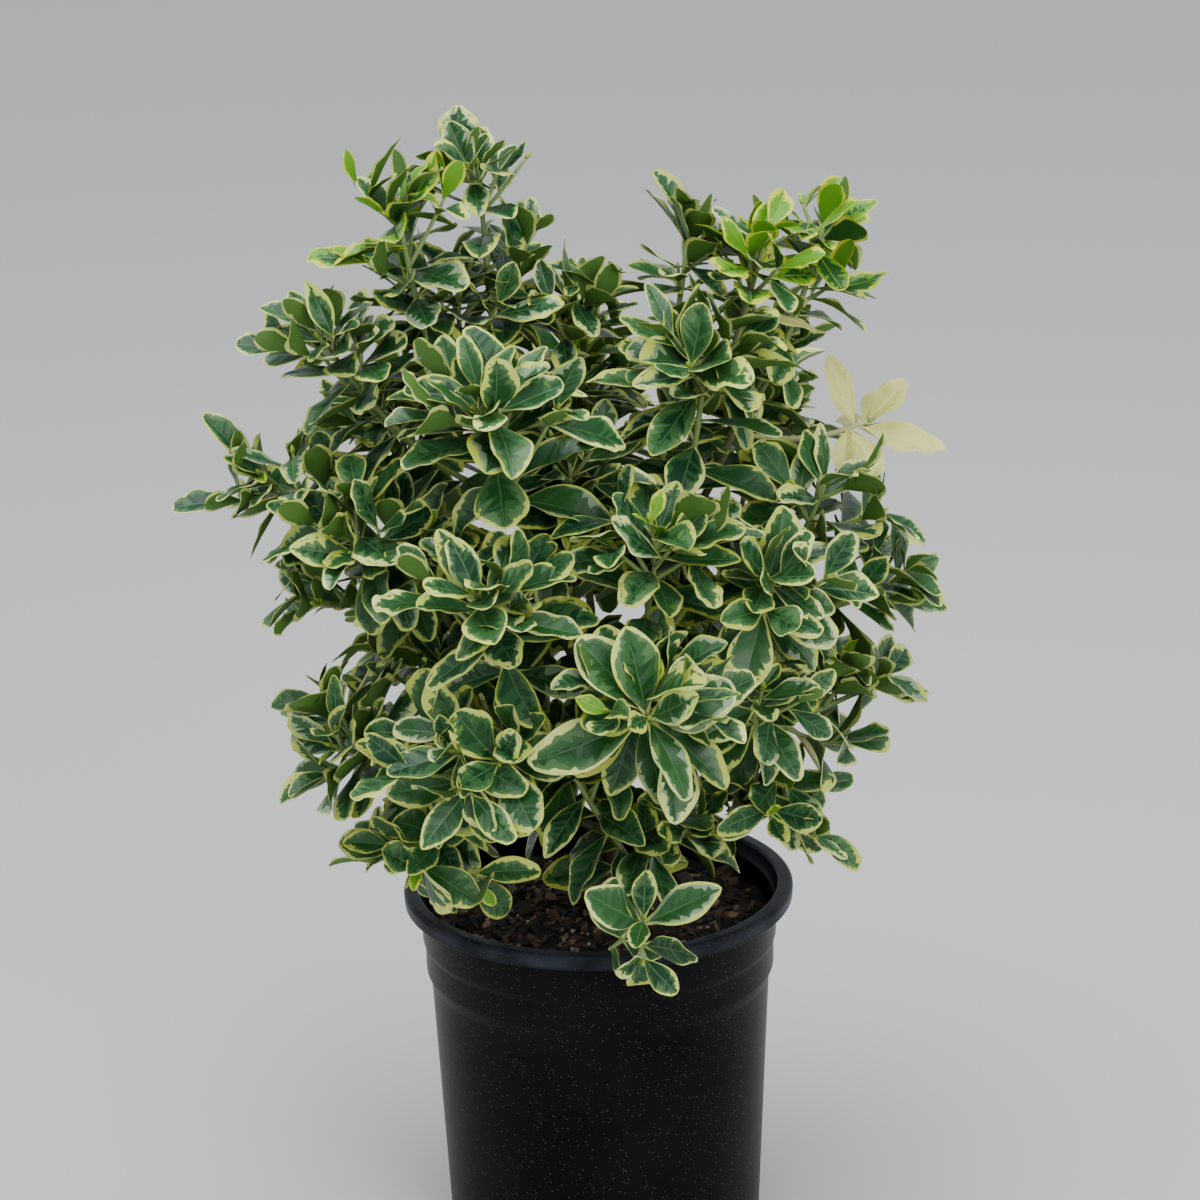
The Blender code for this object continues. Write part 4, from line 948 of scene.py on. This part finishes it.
def joined_leaves(name, leaves):
    """One mesh of many leaves."""
    rng = np.random.default_rng(FOLIAGE_SEED + sum(map(ord, name)))
    points, faces, colours = [], [], []
    count = 0
    for leaf in leaves:
        upper, lower = leaf_shape(rng, leaf)
        local = np.concatenate([upper.reshape(-1, 3), lower.reshape(-1, 3)])
        side = np.cross(leaf.direction, leaf.normal)
        turn = np.stack([side, leaf.direction, leaf.normal], axis=0)
        points.append(local @ turn + leaf.root)
        faces += [[corner + count for corner in face] for face in LEAF_FACES]
        colours.append(leaf_colours(rng, leaf))
        count += len(local)
    obj = mesh_object(name, np.concatenate(points), faces)
    for slot in SLOTS:
        obj.data.materials.append(leaf_material(slot))
    obj.data.polygons.foreach_set("material_index", np.concatenate(colours))
    obj.data.shade_smooth()
    obj.data.set_sharp_from_angle(angle=math.radians(75))
    return obj


# Meshes and materials


def mesh_object(name, points, faces):
    mesh = bpy.data.meshes.new(name)
    mesh.from_pydata(points.tolist(), [], faces if isinstance(faces, list) else faces.tolist())
    obj = bpy.data.objects.new(name, mesh)
    bpy.context.scene.collection.objects.link(obj)
    return obj


MADE = {}


def plain_material(name, colour, roughness, **sockets):
    made = bpy.data.materials.new(name)
    made.use_nodes = True
    shader = made.node_tree.nodes["Principled BSDF"]
    shader.inputs["Base Color"].default_value = (*colour, 1)
    shader.inputs["Roughness"].default_value = roughness
    for socket, value in sockets.items():
        shader.inputs[socket.replace("_", " ")].default_value = value
    return made


def leaf_material(slot):
    if slot not in MADE:
        rough = 0.60 if slot.startswith("under") else 0.36
        MADE[slot] = plain_material("leaf_" + slot, LEAF_PALETTE[slot], rough, Specular_IOR_Level=0.32)
    return MADE[slot]


def tube(points, radii, sides, relief=None):
    """A tube round a route: its vertices and faces, closed at both ends. relief moves a vertex along its radius."""
    tangents = np.gradient(points, axis=0)
    tangents /= np.linalg.norm(tangents, axis=1)[:, None]
    helper = np.array((1.0, 0, 0)) if abs(tangents[0][0]) < 0.8 else np.array((0, 1.0, 0))
    first = unit(np.cross(tangents[0], helper))
    rings = []
    turns = np.arange(sides) * 2 * math.pi / sides
    for k, (point, tangent, radius) in enumerate(zip(points, tangents, radii)):
        first = unit(first - (first @ tangent) * tangent)
        second = np.cross(tangent, first)
        out = np.cos(turns)[:, None] * first + np.sin(turns)[:, None] * second
        reach = radius * (1 + (relief[k] if relief is not None else 0))
        rings.append(point + out * (reach[:, None] if relief is not None else reach))
    vertices = np.concatenate(rings + [points[:1], points[-1:] + tangents[-1:] * radii[-1] * 0.5])
    ring = np.arange(len(points) * sides).reshape(len(points), sides)
    after = np.roll(ring, -1, axis=1)
    walls = np.stack([ring[:-1], after[:-1], after[1:], ring[1:]], axis=2).reshape(-1, 4)
    foot, head = len(points) * sides, len(points) * sides + 1
    foot_fan = np.stack([after[0], ring[0], np.full(sides, foot), np.full(sides, foot)], axis=1)
    head_fan = np.stack([ring[-1], after[-1], np.full(sides, head), np.full(sides, head)], axis=1)
    return vertices, walls, np.concatenate([foot_fan, head_fan])


def joined_tubes(name, tubes):
    """One mesh of many tubes, and the number of the tube that each face belongs to."""
    points, faces, owners = [], [], []
    count = 0
    for number, (vertices, walls, fans) in enumerate(tubes):
        points.append(vertices)
        faces += (walls + count).tolist()
        faces += (fans[:, :3] + count).tolist()
        owners += [number] * (len(walls) + len(fans))
        count += len(vertices)
    mesh = bpy.data.meshes.new(name)
    mesh.from_pydata(np.concatenate(points).tolist(), [], faces)
    obj = bpy.data.objects.new(name, mesh)
    bpy.context.scene.collection.objects.link(obj)
    mesh.shade_smooth()
    return obj, np.array(owners)


def smooth_route(points, radii, count):
    """More points on the curve through a limb's points, with their radii."""
    t = np.arange(len(points))
    fine = np.linspace(0, len(points) - 1, count)
    dense = np.stack([np.interp(fine, t, points[:, i]) for i in range(3)], axis=1)
    width = max(1, count // (2 * len(points)))
    kernel = np.ones(2 * width + 1) / (2 * width + 1)
    padded = np.pad(dense, ((width, width), (0, 0)), mode="reflect", reflect_type="odd")
    soft = np.stack([np.convolve(padded[:, i], kernel, mode="valid") for i in range(3)], axis=1)
    return soft, np.interp(fine, t, radii)


def node_swelling(length, count, spacing, amount, offset):
    """A limb's girth along it, with a slight swelling where each pair of leaves stood."""
    at = np.linspace(0, length, count)
    return 1 + amount * np.exp(-(((at - offset) % spacing - spacing / 2) / 0.0016) ** 2)


def build_twigs(leaders, shoots):
    rng = np.random.default_rng(5)
    tubes, shades = [], []
    for mass in MASSES:
        for route in [leaders[mass.name]] + shoots[mass.name]:
            points, radii = route
            count = TWIG_RINGS if route is not leaders[mass.name] else 2 * TWIG_RINGS
            soft, girth = smooth_route(points, radii, count)
            length = np.linalg.norm(np.diff(soft, axis=0), axis=1).sum()
            girth = girth * node_swelling(length, count, 0.018, 0.22, rng.uniform(0, 0.018))
            tubes.append(tube(soft, girth, TWIG_SIDES))
            old = route is leaders[mass.name] and rng.random() < 0.30
            shades.append(3 if mass.kind == "cream" else (1 if old else rng.choice((0, 0, 0, 2))))
    obj, owners = joined_tubes("twigs", tubes)
    for name, colour, rough in (
        ("twig_green", (0.215, 0.320, 0.100), 0.5),
        ("twig_brown", (0.150, 0.140, 0.070), 0.7),
        ("twig_pale", (0.290, 0.380, 0.150), 0.5),
        ("twig_cream", (0.520, 0.520, 0.240), 0.5),
    ):
        obj.data.materials.append(plain_material(name, colour, rough))
    obj.data.polygons.foreach_set("material_index", np.array(shades)[owners])
    return obj


def build_buds(leaders, shoots):
    """A small pointed bud at the tip of each leader and of every other shoot."""
    tubes = []
    for mass in MASSES:
        for points, radii in [leaders[mass.name]] + shoots[mass.name][::2]:
            way = unit(points[-1] - points[-2])
            steps = np.linspace(0, 1, 5)
            route = points[-1] + way * (steps * 0.007)[:, None]
            girth = 0.0019 * np.sin(math.pi * np.clip(0.22 + 0.76 * steps, 0, 1)) + 0.0002
            tubes.append(tube(route, girth, 6))
    obj, _ = joined_tubes("buds", tubes)
    obj.data.materials.append(plain_material("bud", (0.300, 0.420, 0.060), 0.45))
    return obj


def bark_relief(rng, rings, sides, girth):
    """Long shallow fissures and ridges up a limb, as shares of its radius."""
    rows = rng.normal(0, 1, (rings, sides))
    long = np.stack([np.convolve(np.pad(rows[:, s], 6, mode="wrap"), np.ones(13) / 13, mode="valid") for s in range(sides)], axis=1)
    fine = rng.normal(0, 1, (rings, sides))
    return (0.16 * long + 0.018 * fine) * min(1.0, girth / 0.005)


def limb_tube(rng, route, parent_axis=None):
    points, radii = route
    if parent_axis is not None:
        points = np.vstack([parent_axis, points])
        radii = np.concatenate([[radii[0] * 1.25], radii])
    length = np.linalg.norm(np.diff(points, axis=0), axis=1).sum()
    count = max(12, int(length / BARK_STEP))
    soft, girth = smooth_route(points, radii, count)
    girth = girth * node_swelling(length, count, 0.030, 0.10, 0.01)
    return tube(soft, girth, BARK_SIDES, bark_relief(rng, count, BARK_SIDES, radii[0]))


def noise_colours(material, scale, stops, roughness, bump, stretch=(1, 1, 1), detail=8.0):
    """Gives a material a noise that runs through colour stops, and a bump from the same noise."""
    nodes, links = material.node_tree.nodes, material.node_tree.links
    shader = nodes["Principled BSDF"]
    coords = nodes.new("ShaderNodeTexCoord")
    mapping = nodes.new("ShaderNodeMapping")
    mapping.inputs["Scale"].default_value = stretch
    noise = nodes.new("ShaderNodeTexNoise")
    noise.inputs["Scale"].default_value = scale
    noise.inputs["Detail"].default_value = detail
    ramp = nodes.new("ShaderNodeValToRGB")
    while len(ramp.color_ramp.elements) < len(stops):
        ramp.color_ramp.elements.new(0.5)
    for element, (place, colour) in zip(ramp.color_ramp.elements, stops):
        element.position = place
        element.color = (*colour, 1)
    links.new(coords.outputs["Object"], mapping.inputs["Vector"])
    links.new(mapping.outputs["Vector"], noise.inputs["Vector"])
    links.new(noise.outputs["Fac"], ramp.inputs["Fac"])
    links.new(ramp.outputs["Color"], shader.inputs["Base Color"])
    shader.inputs["Roughness"].default_value = roughness
    if bump:
        relief = nodes.new("ShaderNodeBump")
        relief.inputs["Strength"].default_value = bump
        relief.inputs["Distance"].default_value = 0.001
        links.new(noise.outputs["Fac"], relief.inputs["Height"])
        links.new(relief.outputs["Normal"], shader.inputs["Normal"])
    return noise


def build_limbs(limbs):
    """Stems and boughs as one growth, with the bark's relief: each bough starts inside the limb that carries it."""
    rng = np.random.default_rng(11)
    stems = [limb_tube(rng, limbs[stem.name]) for stem in STEMS]
    boughs = []
    for bough in BOUGHS:
        parent_axis, _, _ = along(limbs[bough.parent], bough.share)
        boughs.append(limb_tube(rng, limbs[bough.name], parent_axis[None]))
    stems, _ = joined_tubes("stems", stems)
    boughs, _ = joined_tubes("boughs", boughs)
    old = plain_material("old_bark", (0.16, 0.12, 0.085), 0.85)
    noise_colours(old, 60, ((0.30, (0.055, 0.038, 0.025)), (0.52, (0.16, 0.115, 0.075)), (0.72, (0.27, 0.23, 0.17))),
                  0.85, 0.6, stretch=(3, 3, 0.6))
    young = plain_material("young_bark", (0.16, 0.16, 0.07), 0.7)
    noise_colours(young, 70, ((0.32, (0.080, 0.078, 0.035)), (0.50, (0.155, 0.165, 0.070)), (0.70, (0.225, 0.260, 0.125))),
                  0.7, 0.4, stretch=(3, 3, 0.5))
    stems.data.materials.append(old)
    boughs.data.materials.append(young)
    return stems, boughs


# Pot, soil and tag


def wall_radius(height):
    share = height / (POT_HEIGHT - COLLAR_DROP)
    return WALL_BASE_RADIUS + (WALL_TOP_RADIUS - WALL_BASE_RADIUS) * share


def arc(centre, radius, start, end, count):
    """Points of a profile on a circle, at angles from the horizontal, in degrees."""
    turns = np.radians(np.linspace(start, end, count))
    return [(centre[0] + radius * math.cos(t), centre[1] + radius * math.sin(t)) for t in turns]


def pot_profile():
    """The pot's half section: up the inside from the floor, over the rolled rim and down the outside."""
    top = POT_HEIGHT
    band_foot = top - RIM_BAND
    neck_foot = top - NECK_DROP
    collar_foot = top - COLLAR_DROP
    lip = RIM_RADIUS - RIM_LEDGE
    inner_foot = FLOOR_THICKNESS + BASE_EDGE
    bead = 0.0042
    points = [(0, FLOOR_THICKNESS), (wall_radius(0) - BASE_EDGE - 0.002, FLOOR_THICKNESS)]
    points += arc((wall_radius(0) - BASE_EDGE - POT_WALL, inner_foot), BASE_EDGE, -80, 0, 4)
    points += [
        (wall_radius(collar_foot) - POT_WALL, collar_foot),
        (COLLAR_RADIUS - POT_WALL, collar_foot + COLLAR_SLOPE),
        (COLLAR_RADIUS - POT_WALL, neck_foot - 0.004),
        (NECK_RADIUS - POT_WALL, neck_foot),
        (NECK_RADIUS - POT_WALL, band_foot - 0.001),
        (lip - 0.0004, band_foot + 0.002),
    ]
    points += arc((lip + 0.0030, top - 0.0030), 0.0030, 180, 90, 6)
    points += [(RIM_RADIUS - bead - 0.0022, top - 0.0004)]
    points += arc((RIM_RADIUS - bead, top - bead), bead, 84, 0, 8)
    points += [(RIM_RADIUS - 0.0004, band_foot + 0.0022)]
    points += arc((RIM_RADIUS - 0.0017, band_foot + 0.0013), 0.0013, 0, -90, 5)
    points += [(RIM_RADIUS - 0.0030, band_foot), (RIM_RADIUS - 0.0040, band_foot + 0.0016)]
    points += [(NECK_RADIUS + 0.0016, band_foot + 0.0014), (NECK_RADIUS + 0.0004, band_foot - 0.0008)]
    points += [(NECK_RADIUS, band_foot - 0.003), (NECK_RADIUS, neck_foot + 0.001), (NECK_RADIUS - 0.0003, neck_foot)]
    points += [(COLLAR_RADIUS + 0.0002, neck_foot - 0.0036), (COLLAR_RADIUS, neck_foot - 0.005)]
    points += [(COLLAR_RADIUS, collar_foot + COLLAR_SLOPE + 0.001), (COLLAR_RADIUS - 0.0003, collar_foot + COLLAR_SLOPE - 0.0008)]
    points += [(wall_radius(collar_foot) + 0.0003, collar_foot + 0.0006), (wall_radius(collar_foot), collar_foot - 0.001)]
    for height in np.linspace(collar_foot - 0.02, BASE_EDGE + 0.01, 9):
        points += [(wall_radius(height), height)]
    points += arc((wall_radius(BASE_EDGE) - BASE_EDGE, BASE_EDGE), BASE_EDGE, 0, -80, 5)
    points += [(wall_radius(0) - BASE_EDGE - 0.002, 0), (0, 0)]
    return points


def build_pot():
    profile = pot_profile()
    mesh = bpy.data.meshes.new("nursery_pot")
    mesh.from_pydata([(r, 0, z) for r, z in profile], [(i, i + 1) for i in range(len(profile) - 1)], [])
    pot = bpy.data.objects.new("nursery_pot", mesh)
    bpy.context.scene.collection.objects.link(pot)
    screw = pot.modifiers.new("turn", "SCREW")
    screw.steps = POT_STEPS
    screw.render_steps = POT_STEPS
    screw.use_merge_vertices = True
    screw.merge_threshold = 0.00005
    cutters = []
    for number in range(DRAIN_HOLES):
        turn = 2 * math.pi * (number + 0.5) / DRAIN_HOLES
        shape = bmesh.new()
        bmesh.ops.create_cone(shape, cap_ends=True, segments=28, radius1=DRAIN_RADIUS, radius2=DRAIN_RADIUS, depth=0.04)
        cutter_mesh = bpy.data.meshes.new("drain_cutter")
        shape.to_mesh(cutter_mesh)
        shape.free()
        cutter = bpy.data.objects.new("drain_cutter", cutter_mesh)
        bpy.context.scene.collection.objects.link(cutter)
        place = Matrix.Rotation(turn, 4, "Z") @ Matrix.Translation((WALL_BASE_RADIUS, 0, DRAIN_HEIGHT))
        cutter.matrix_world = place @ Matrix.Rotation(math.pi / 2, 4, "Y")
        cut = pot.modifiers.new("drain", "BOOLEAN")
        cut.operation = "DIFFERENCE"
        cut.object = cutter
        cutters.append(cutter)
    apply_modifiers(pot)
    for cutter in cutters:
        bpy.data.objects.remove(cutter)
    pot.data.shade_smooth()
    pot.data.set_sharp_from_angle(angle=math.radians(40))
    pot.data.materials.clear()
    pot.data.materials.append(pot_material())
    return pot


def apply_modifiers(obj):
    bpy.context.view_layer.update()
    graph = bpy.context.evaluated_depsgraph_get()
    mesh = bpy.data.meshes.new_from_object(obj.evaluated_get(graph))
    obj.modifiers.clear()
    obj.data = mesh


def pot_material():
    """Black moulded plastic: satin, with faint dust, tiny pale specks, a grainy wall and a painted highlight on the rim
    band.
    """
    made = plain_material("black_nursery_plastic", (0.004, 0.004, 0.005), 0.36, Specular_IOR_Level=0.07)
    nodes, links = made.node_tree.nodes, made.node_tree.links
    shader = nodes["Principled BSDF"]
    coords = nodes.new("ShaderNodeTexCoord")
    dust = nodes.new("ShaderNodeTexNoise")
    dust.inputs["Scale"].default_value = 9
    dust.inputs["Detail"].default_value = 6
    dust_ramp = nodes.new("ShaderNodeValToRGB")
    dust_ramp.color_ramp.elements[0].position = 0.40
    dust_ramp.color_ramp.elements[0].color = (0.0010, 0.0011, 0.0018, 1)
    dust_ramp.color_ramp.elements[1].position = 0.72
    dust_ramp.color_ramp.elements[1].color = (0.0042, 0.0042, 0.0052, 1)
    specks = nodes.new("ShaderNodeTexVoronoi")
    specks.inputs["Scale"].default_value = 290
    speck_ramp = nodes.new("ShaderNodeValToRGB")
    speck_ramp.color_ramp.elements[0].position = 0.09
    speck_ramp.color_ramp.elements[0].color = (1, 1, 1, 1)
    speck_ramp.color_ramp.elements[1].position = 0.17
    speck_ramp.color_ramp.elements[1].color = (0, 0, 0, 1)
    mix = nodes.new("ShaderNodeMix")
    mix.data_type = "RGBA"
    mix.inputs["B"].default_value = (0.072, 0.067, 0.060, 1)
    # Painted highlight: from the top of the wall up, the rim band turns a lighter bluish grey, mottled by a noise, in
    # place of the sky's sheen on the rim
    height = nodes.new("ShaderNodeSeparateXYZ")
    at_rim = nodes.new("ShaderNodeMapRange")
    at_rim.inputs["From Min"].default_value = POT_HEIGHT - RIM_BAND - 0.001
    at_rim.inputs["From Max"].default_value = POT_HEIGHT - RIM_BAND + 0.003
    # The noise and ramp that mottle the rim's painted highlight, from dark grey to light bluish grey
    rim_sheen_noise = nodes.new("ShaderNodeTexNoise")
    rim_sheen_noise.inputs["Scale"].default_value = 34
    rim_sheen_noise.inputs["Detail"].default_value = 8
    rim_sheen_ramp = nodes.new("ShaderNodeValToRGB")
    rim_sheen_ramp.color_ramp.elements[0].position = 0.36
    rim_sheen_ramp.color_ramp.elements[0].color = (0.0075, 0.0090, 0.0130, 1)
    rim_sheen_ramp.color_ramp.elements[1].position = 0.70
    rim_sheen_ramp.color_ramp.elements[1].color = (0.0260, 0.0310, 0.0410, 1)
    rim_mix = nodes.new("ShaderNodeMix")
    rim_mix.data_type = "RGBA"
    grain = nodes.new("ShaderNodeTexNoise")
    grain.inputs["Scale"].default_value = 420
    grain.inputs["Detail"].default_value = 3
    bump = nodes.new("ShaderNodeBump")
    bump.inputs["Strength"].default_value = 0.16
    bump.inputs["Distance"].default_value = 0.0006
    for node in (dust, specks, grain, rim_sheen_noise, height):
        links.new(coords.outputs["Object"], node.inputs["Vector"])
    links.new(height.outputs["Z"], at_rim.inputs["Value"])
    links.new(at_rim.outputs["Result"], rim_mix.inputs["Factor"])
    links.new(rim_sheen_noise.outputs["Fac"], rim_sheen_ramp.inputs["Fac"])
    links.new(dust_ramp.outputs["Color"], rim_mix.inputs["A"])
    links.new(rim_sheen_ramp.outputs["Color"], rim_mix.inputs["B"])
    links.new(dust.outputs["Fac"], dust_ramp.inputs["Fac"])
    links.new(specks.outputs["Distance"], speck_ramp.inputs["Fac"])
    links.new(speck_ramp.outputs["Color"], mix.inputs["Factor"])
    links.new(rim_mix.outputs["Result"], mix.inputs["A"])
    links.new(mix.outputs["Result"], shader.inputs["Base Color"])
    links.new(grain.outputs["Fac"], bump.inputs["Height"])
    links.new(bump.outputs["Normal"], shader.inputs["Normal"])
    return made


def soil_surface(x, y):
    """The height of the mix over a point, before its roughness: level, a little lower at the wall."""
    return SOIL_TOP - 0.004 * np.clip(np.hypot(x, y) / COLLAR_RADIUS, 0, 1) ** 3


def build_soil():
    """The mix's rough top, on a plug that reaches down the pot's inside."""
    rng = np.random.default_rng(21)
    rings, sides = 46, 150
    reach = COLLAR_RADIUS - POT_WALL - GAP
    radii = np.linspace(0, 1, rings + 1)[1:] ** 0.8 * reach
    turns = np.arange(sides) * 2 * math.pi / sides
    x = radii[:, None] * np.cos(turns)
    y = radii[:, None] * np.sin(turns)
    lumps = sum(
        amount * np.sin(fx * x + px) * np.sin(fy * y + py)
        for amount, fx, fy, px, py in zip(
            (0.0011, 0.0009, 0.0007, 0.0005), (70, 120, 210, 330), (90, 140, 190, 350),
            rng.uniform(0, 6, 4), rng.uniform(0, 6, 4))
    )
    z = soil_surface(x, y) + lumps + rng.normal(0, 0.0006, x.shape) - 0.0016
    top = np.stack([x, y, z], axis=2)
    skirt = top[-1:].copy()
    skirt[:, :, 2] = SOIL_TOP - SOIL_DEPTH
    rings_all = np.concatenate([top, skirt])
    vertices = np.concatenate([rings_all.reshape(-1, 3), [(0, 0, SOIL_TOP - 0.0012)], [(0, 0, SOIL_TOP - SOIL_DEPTH)]])
    ring = np.arange(len(rings_all) * sides).reshape(-1, sides)
    after = np.roll(ring, -1, axis=1)
    walls = np.stack([ring[:-1], ring[1:], after[1:], after[:-1]], axis=2).reshape(-1, 4).tolist()
    centre, foot = len(vertices) - 2, len(vertices) - 1
    fans = [(centre, int(a), int(b)) for a, b in zip(ring[0], after[0])]
    fans += [(foot, int(b), int(a)) for a, b in zip(ring[-1], after[-1])]
    mesh = bpy.data.meshes.new("potting_mix")
    mesh.from_pydata(vertices.tolist(), [], walls + fans)
    soil = bpy.data.objects.new("potting_mix", mesh)
    bpy.context.scene.collection.objects.link(soil)
    mesh.shade_smooth()
    made = plain_material("moist_bark_mix", (0.02, 0.014, 0.01), 0.9)
    noise_colours(made, 130, ((0.34, (0.006, 0.005, 0.004)), (0.52, (0.020, 0.014, 0.010)), (0.68, (0.060, 0.036, 0.022))),
                  0.85, 0.9)
    mesh.materials.append(made)
    return soil


def build_chips():
    """Bark chips and a few pale grains that lie on the mix."""
    rng = np.random.default_rng(CHIP_SEED)
    corners = np.array([(x, y, z) for x in (-1, 1) for y in (-1, 1) for z in (-1, 1)], float)
    quads = np.array([(0, 1, 3, 2), (4, 6, 7, 5), (0, 4, 5, 1), (2, 3, 7, 6), (0, 2, 6, 4), (1, 5, 7, 3)])
    points, faces, shades = [], [], []
    for number in range(CHIPS):
        reach = math.sqrt(rng.uniform(0, 1)) * (COLLAR_RADIUS - POT_WALL - 0.009)
        turn = rng.uniform(0, 2 * math.pi)
        x, y = reach * math.cos(turn), reach * math.sin(turn)
        pale = rng.random() < 0.05
        long = rng.uniform(0.0012, 0.0022) if pale else rng.lognormal(math.log(0.0036), 0.42)
        size = np.array((long, long * rng.uniform(0.3, 0.7), long * rng.uniform(0.14, 0.4))) if not pale else long * np.ones(3) * 0.7
        size = np.minimum(size, 0.0075)
        body = corners * size * rng.uniform(0.65, 1.15, (8, 3))
        frame_turn = np.array(Matrix.Rotation(rng.uniform(0, 2 * math.pi), 3, "Z") @ Matrix.Rotation(rng.normal(0, 0.35), 3, "X")
                              @ Matrix.Rotation(rng.normal(0, 0.35), 3, "Y"))
        place = np.array((x, y, soil_surface(x, y) + size[2] * 0.5 - 0.0005))
        points.append(body @ frame_turn.T + place)
        faces.append(quads + 8 * number)
        shades += [4 if pale else rng.choice(4, p=(0.48, 0.24, 0.16, 0.12))] * 6
    chips = mesh_object("bark_chips", np.concatenate(points), np.concatenate(faces))
    for name, colour in (
        ("chip_black", (0.009, 0.007, 0.006)),
        ("chip_brown", (0.040, 0.024, 0.015)),
        ("chip_red", (0.085, 0.045, 0.025)),
        ("chip_tan", (0.210, 0.130, 0.075)),
        ("chip_pale", (0.340, 0.320, 0.290)),
    ):
        chips.data.materials.append(plain_material(name, colour, 0.85))
    chips.data.polygons.foreach_set("material_index", np.array(shades))
    return chips


def finish_tag():
    tag = frame["nodes"]["plant_tag"]
    made = plain_material("weathered_tag", (0.42, 0.41, 0.47), 0.45)
    noise_colours(made, 90, ((0.35, (0.34, 0.33, 0.39)), (0.65, (0.50, 0.49, 0.55))), 0.45, 0.08)
    tag.data.materials.clear()
    tag.data.materials.append(made)


# Scene


def group_of(mass):
    """The piece that a mass's leaves are joined into, by where it lies."""
    x, y, z = mass.centre
    side = "left" if x < 0 else "right"
    if y > 0.06:
        return "foliage_back_" + side
    if z > 0.65:
        return "foliage_top_" + side
    if abs(x) < 0.1:
        return "foliage_front_" + side
    return "foliage_" + side


def leaf_groups(crown):
    """The masses and the leaves of each piece of foliage."""
    homes = {mass.name: group_of(mass) for mass in MASSES}
    masses = {}
    for name, group in homes.items():
        masses.setdefault(group, []).append(name)
    leaves = {group: [] for group in masses}
    for leaf, owner in zip(crown.leaves, crown.owners):
        leaves[homes[owner]].append(leaf)
    return masses, leaves


def build_camera():
    right, up, forward, place = camera_frame()
    data = bpy.data.cameras.new("camera")
    data.lens = LENS
    data.sensor_width = SENSOR
    camera = bpy.data.objects.new("camera", data)
    bpy.context.scene.collection.objects.link(camera)
    matrix = np.eye(4)
    matrix[:3, :3] = np.stack([right, up, -forward], axis=1)
    matrix[:3, 3] = place
    camera.matrix_world = Matrix(matrix)
    bpy.context.scene.camera = camera


def area_light(name, place, target, size, power, colour=(1, 1, 1)):
    data = bpy.data.lights.new(name, "AREA")
    data.size = size
    data.energy = power
    data.color = colour
    light = bpy.data.objects.new(name, data)
    bpy.context.scene.collection.objects.link(light)
    light.location = place
    way = Vector(target) - Vector(place)
    light.rotation_euler = way.to_track_quat("-Z", "Y").to_euler()


def build_stage():
    mesh = bpy.data.meshes.new("floor")
    shape = bmesh.new()
    bmesh.ops.create_grid(shape, x_segments=1, y_segments=1, size=25.0)
    shape.to_mesh(mesh)
    shape.free()
    floor = bpy.data.objects.new("floor", mesh)
    bpy.context.scene.collection.objects.link(floor)
    mesh.materials.append(plain_material("pale_floor", (0.62, 0.61, 0.59), 0.9))
    world = bpy.data.worlds.new("soft_sky")
    world.use_nodes = True
    world.node_tree.nodes["Background"].inputs["Color"].default_value = (0.90, 0.94, 1.0, 1)
    world.node_tree.nodes["Background"].inputs["Strength"].default_value = 0.88
    bpy.context.scene.world = world
    area_light("sky_panel", (-0.3, -0.4, 3.2), (0, 0, 0.5), 2.4, 84, (0.97, 0.98, 1.0))
    area_light("front_fill", (1.6, -2.8, 1.9), (0, 0, 0.5), 1.8, 54, (1.0, 0.98, 0.95))


def dress():
    limbs, leaders, shoots, crown = grow_crown()
    groups, leaves = leaf_groups(crown)
    for name, masses in groups.items():
        piece = joined_leaves(name, leaves[name])
        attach(piece, "root")
        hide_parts(*masses)
    for piece, slot in ((build_twigs(leaders, shoots), "green_bark"), (build_buds(leaders, shoots), "leaf")):
        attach(piece, "root")
    stems, boughs = build_limbs(limbs)
    for piece, rows, slot in ((stems, STEMS, "bark"), (boughs, BOUGHS, "green_bark")):
        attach(piece, "root")
        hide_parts(*(row.name for row in rows))
    for piece, node, slot in ((build_pot(), "pot", "black_plastic"), (build_soil(), "soil", "potting_mix")):
        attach(piece, "root")
        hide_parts(node)
    chips = build_chips()
    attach(chips, "root")
    finish_tag()
    print("leaves", len(crown.leaves))


dress()
build_camera()
build_stage()
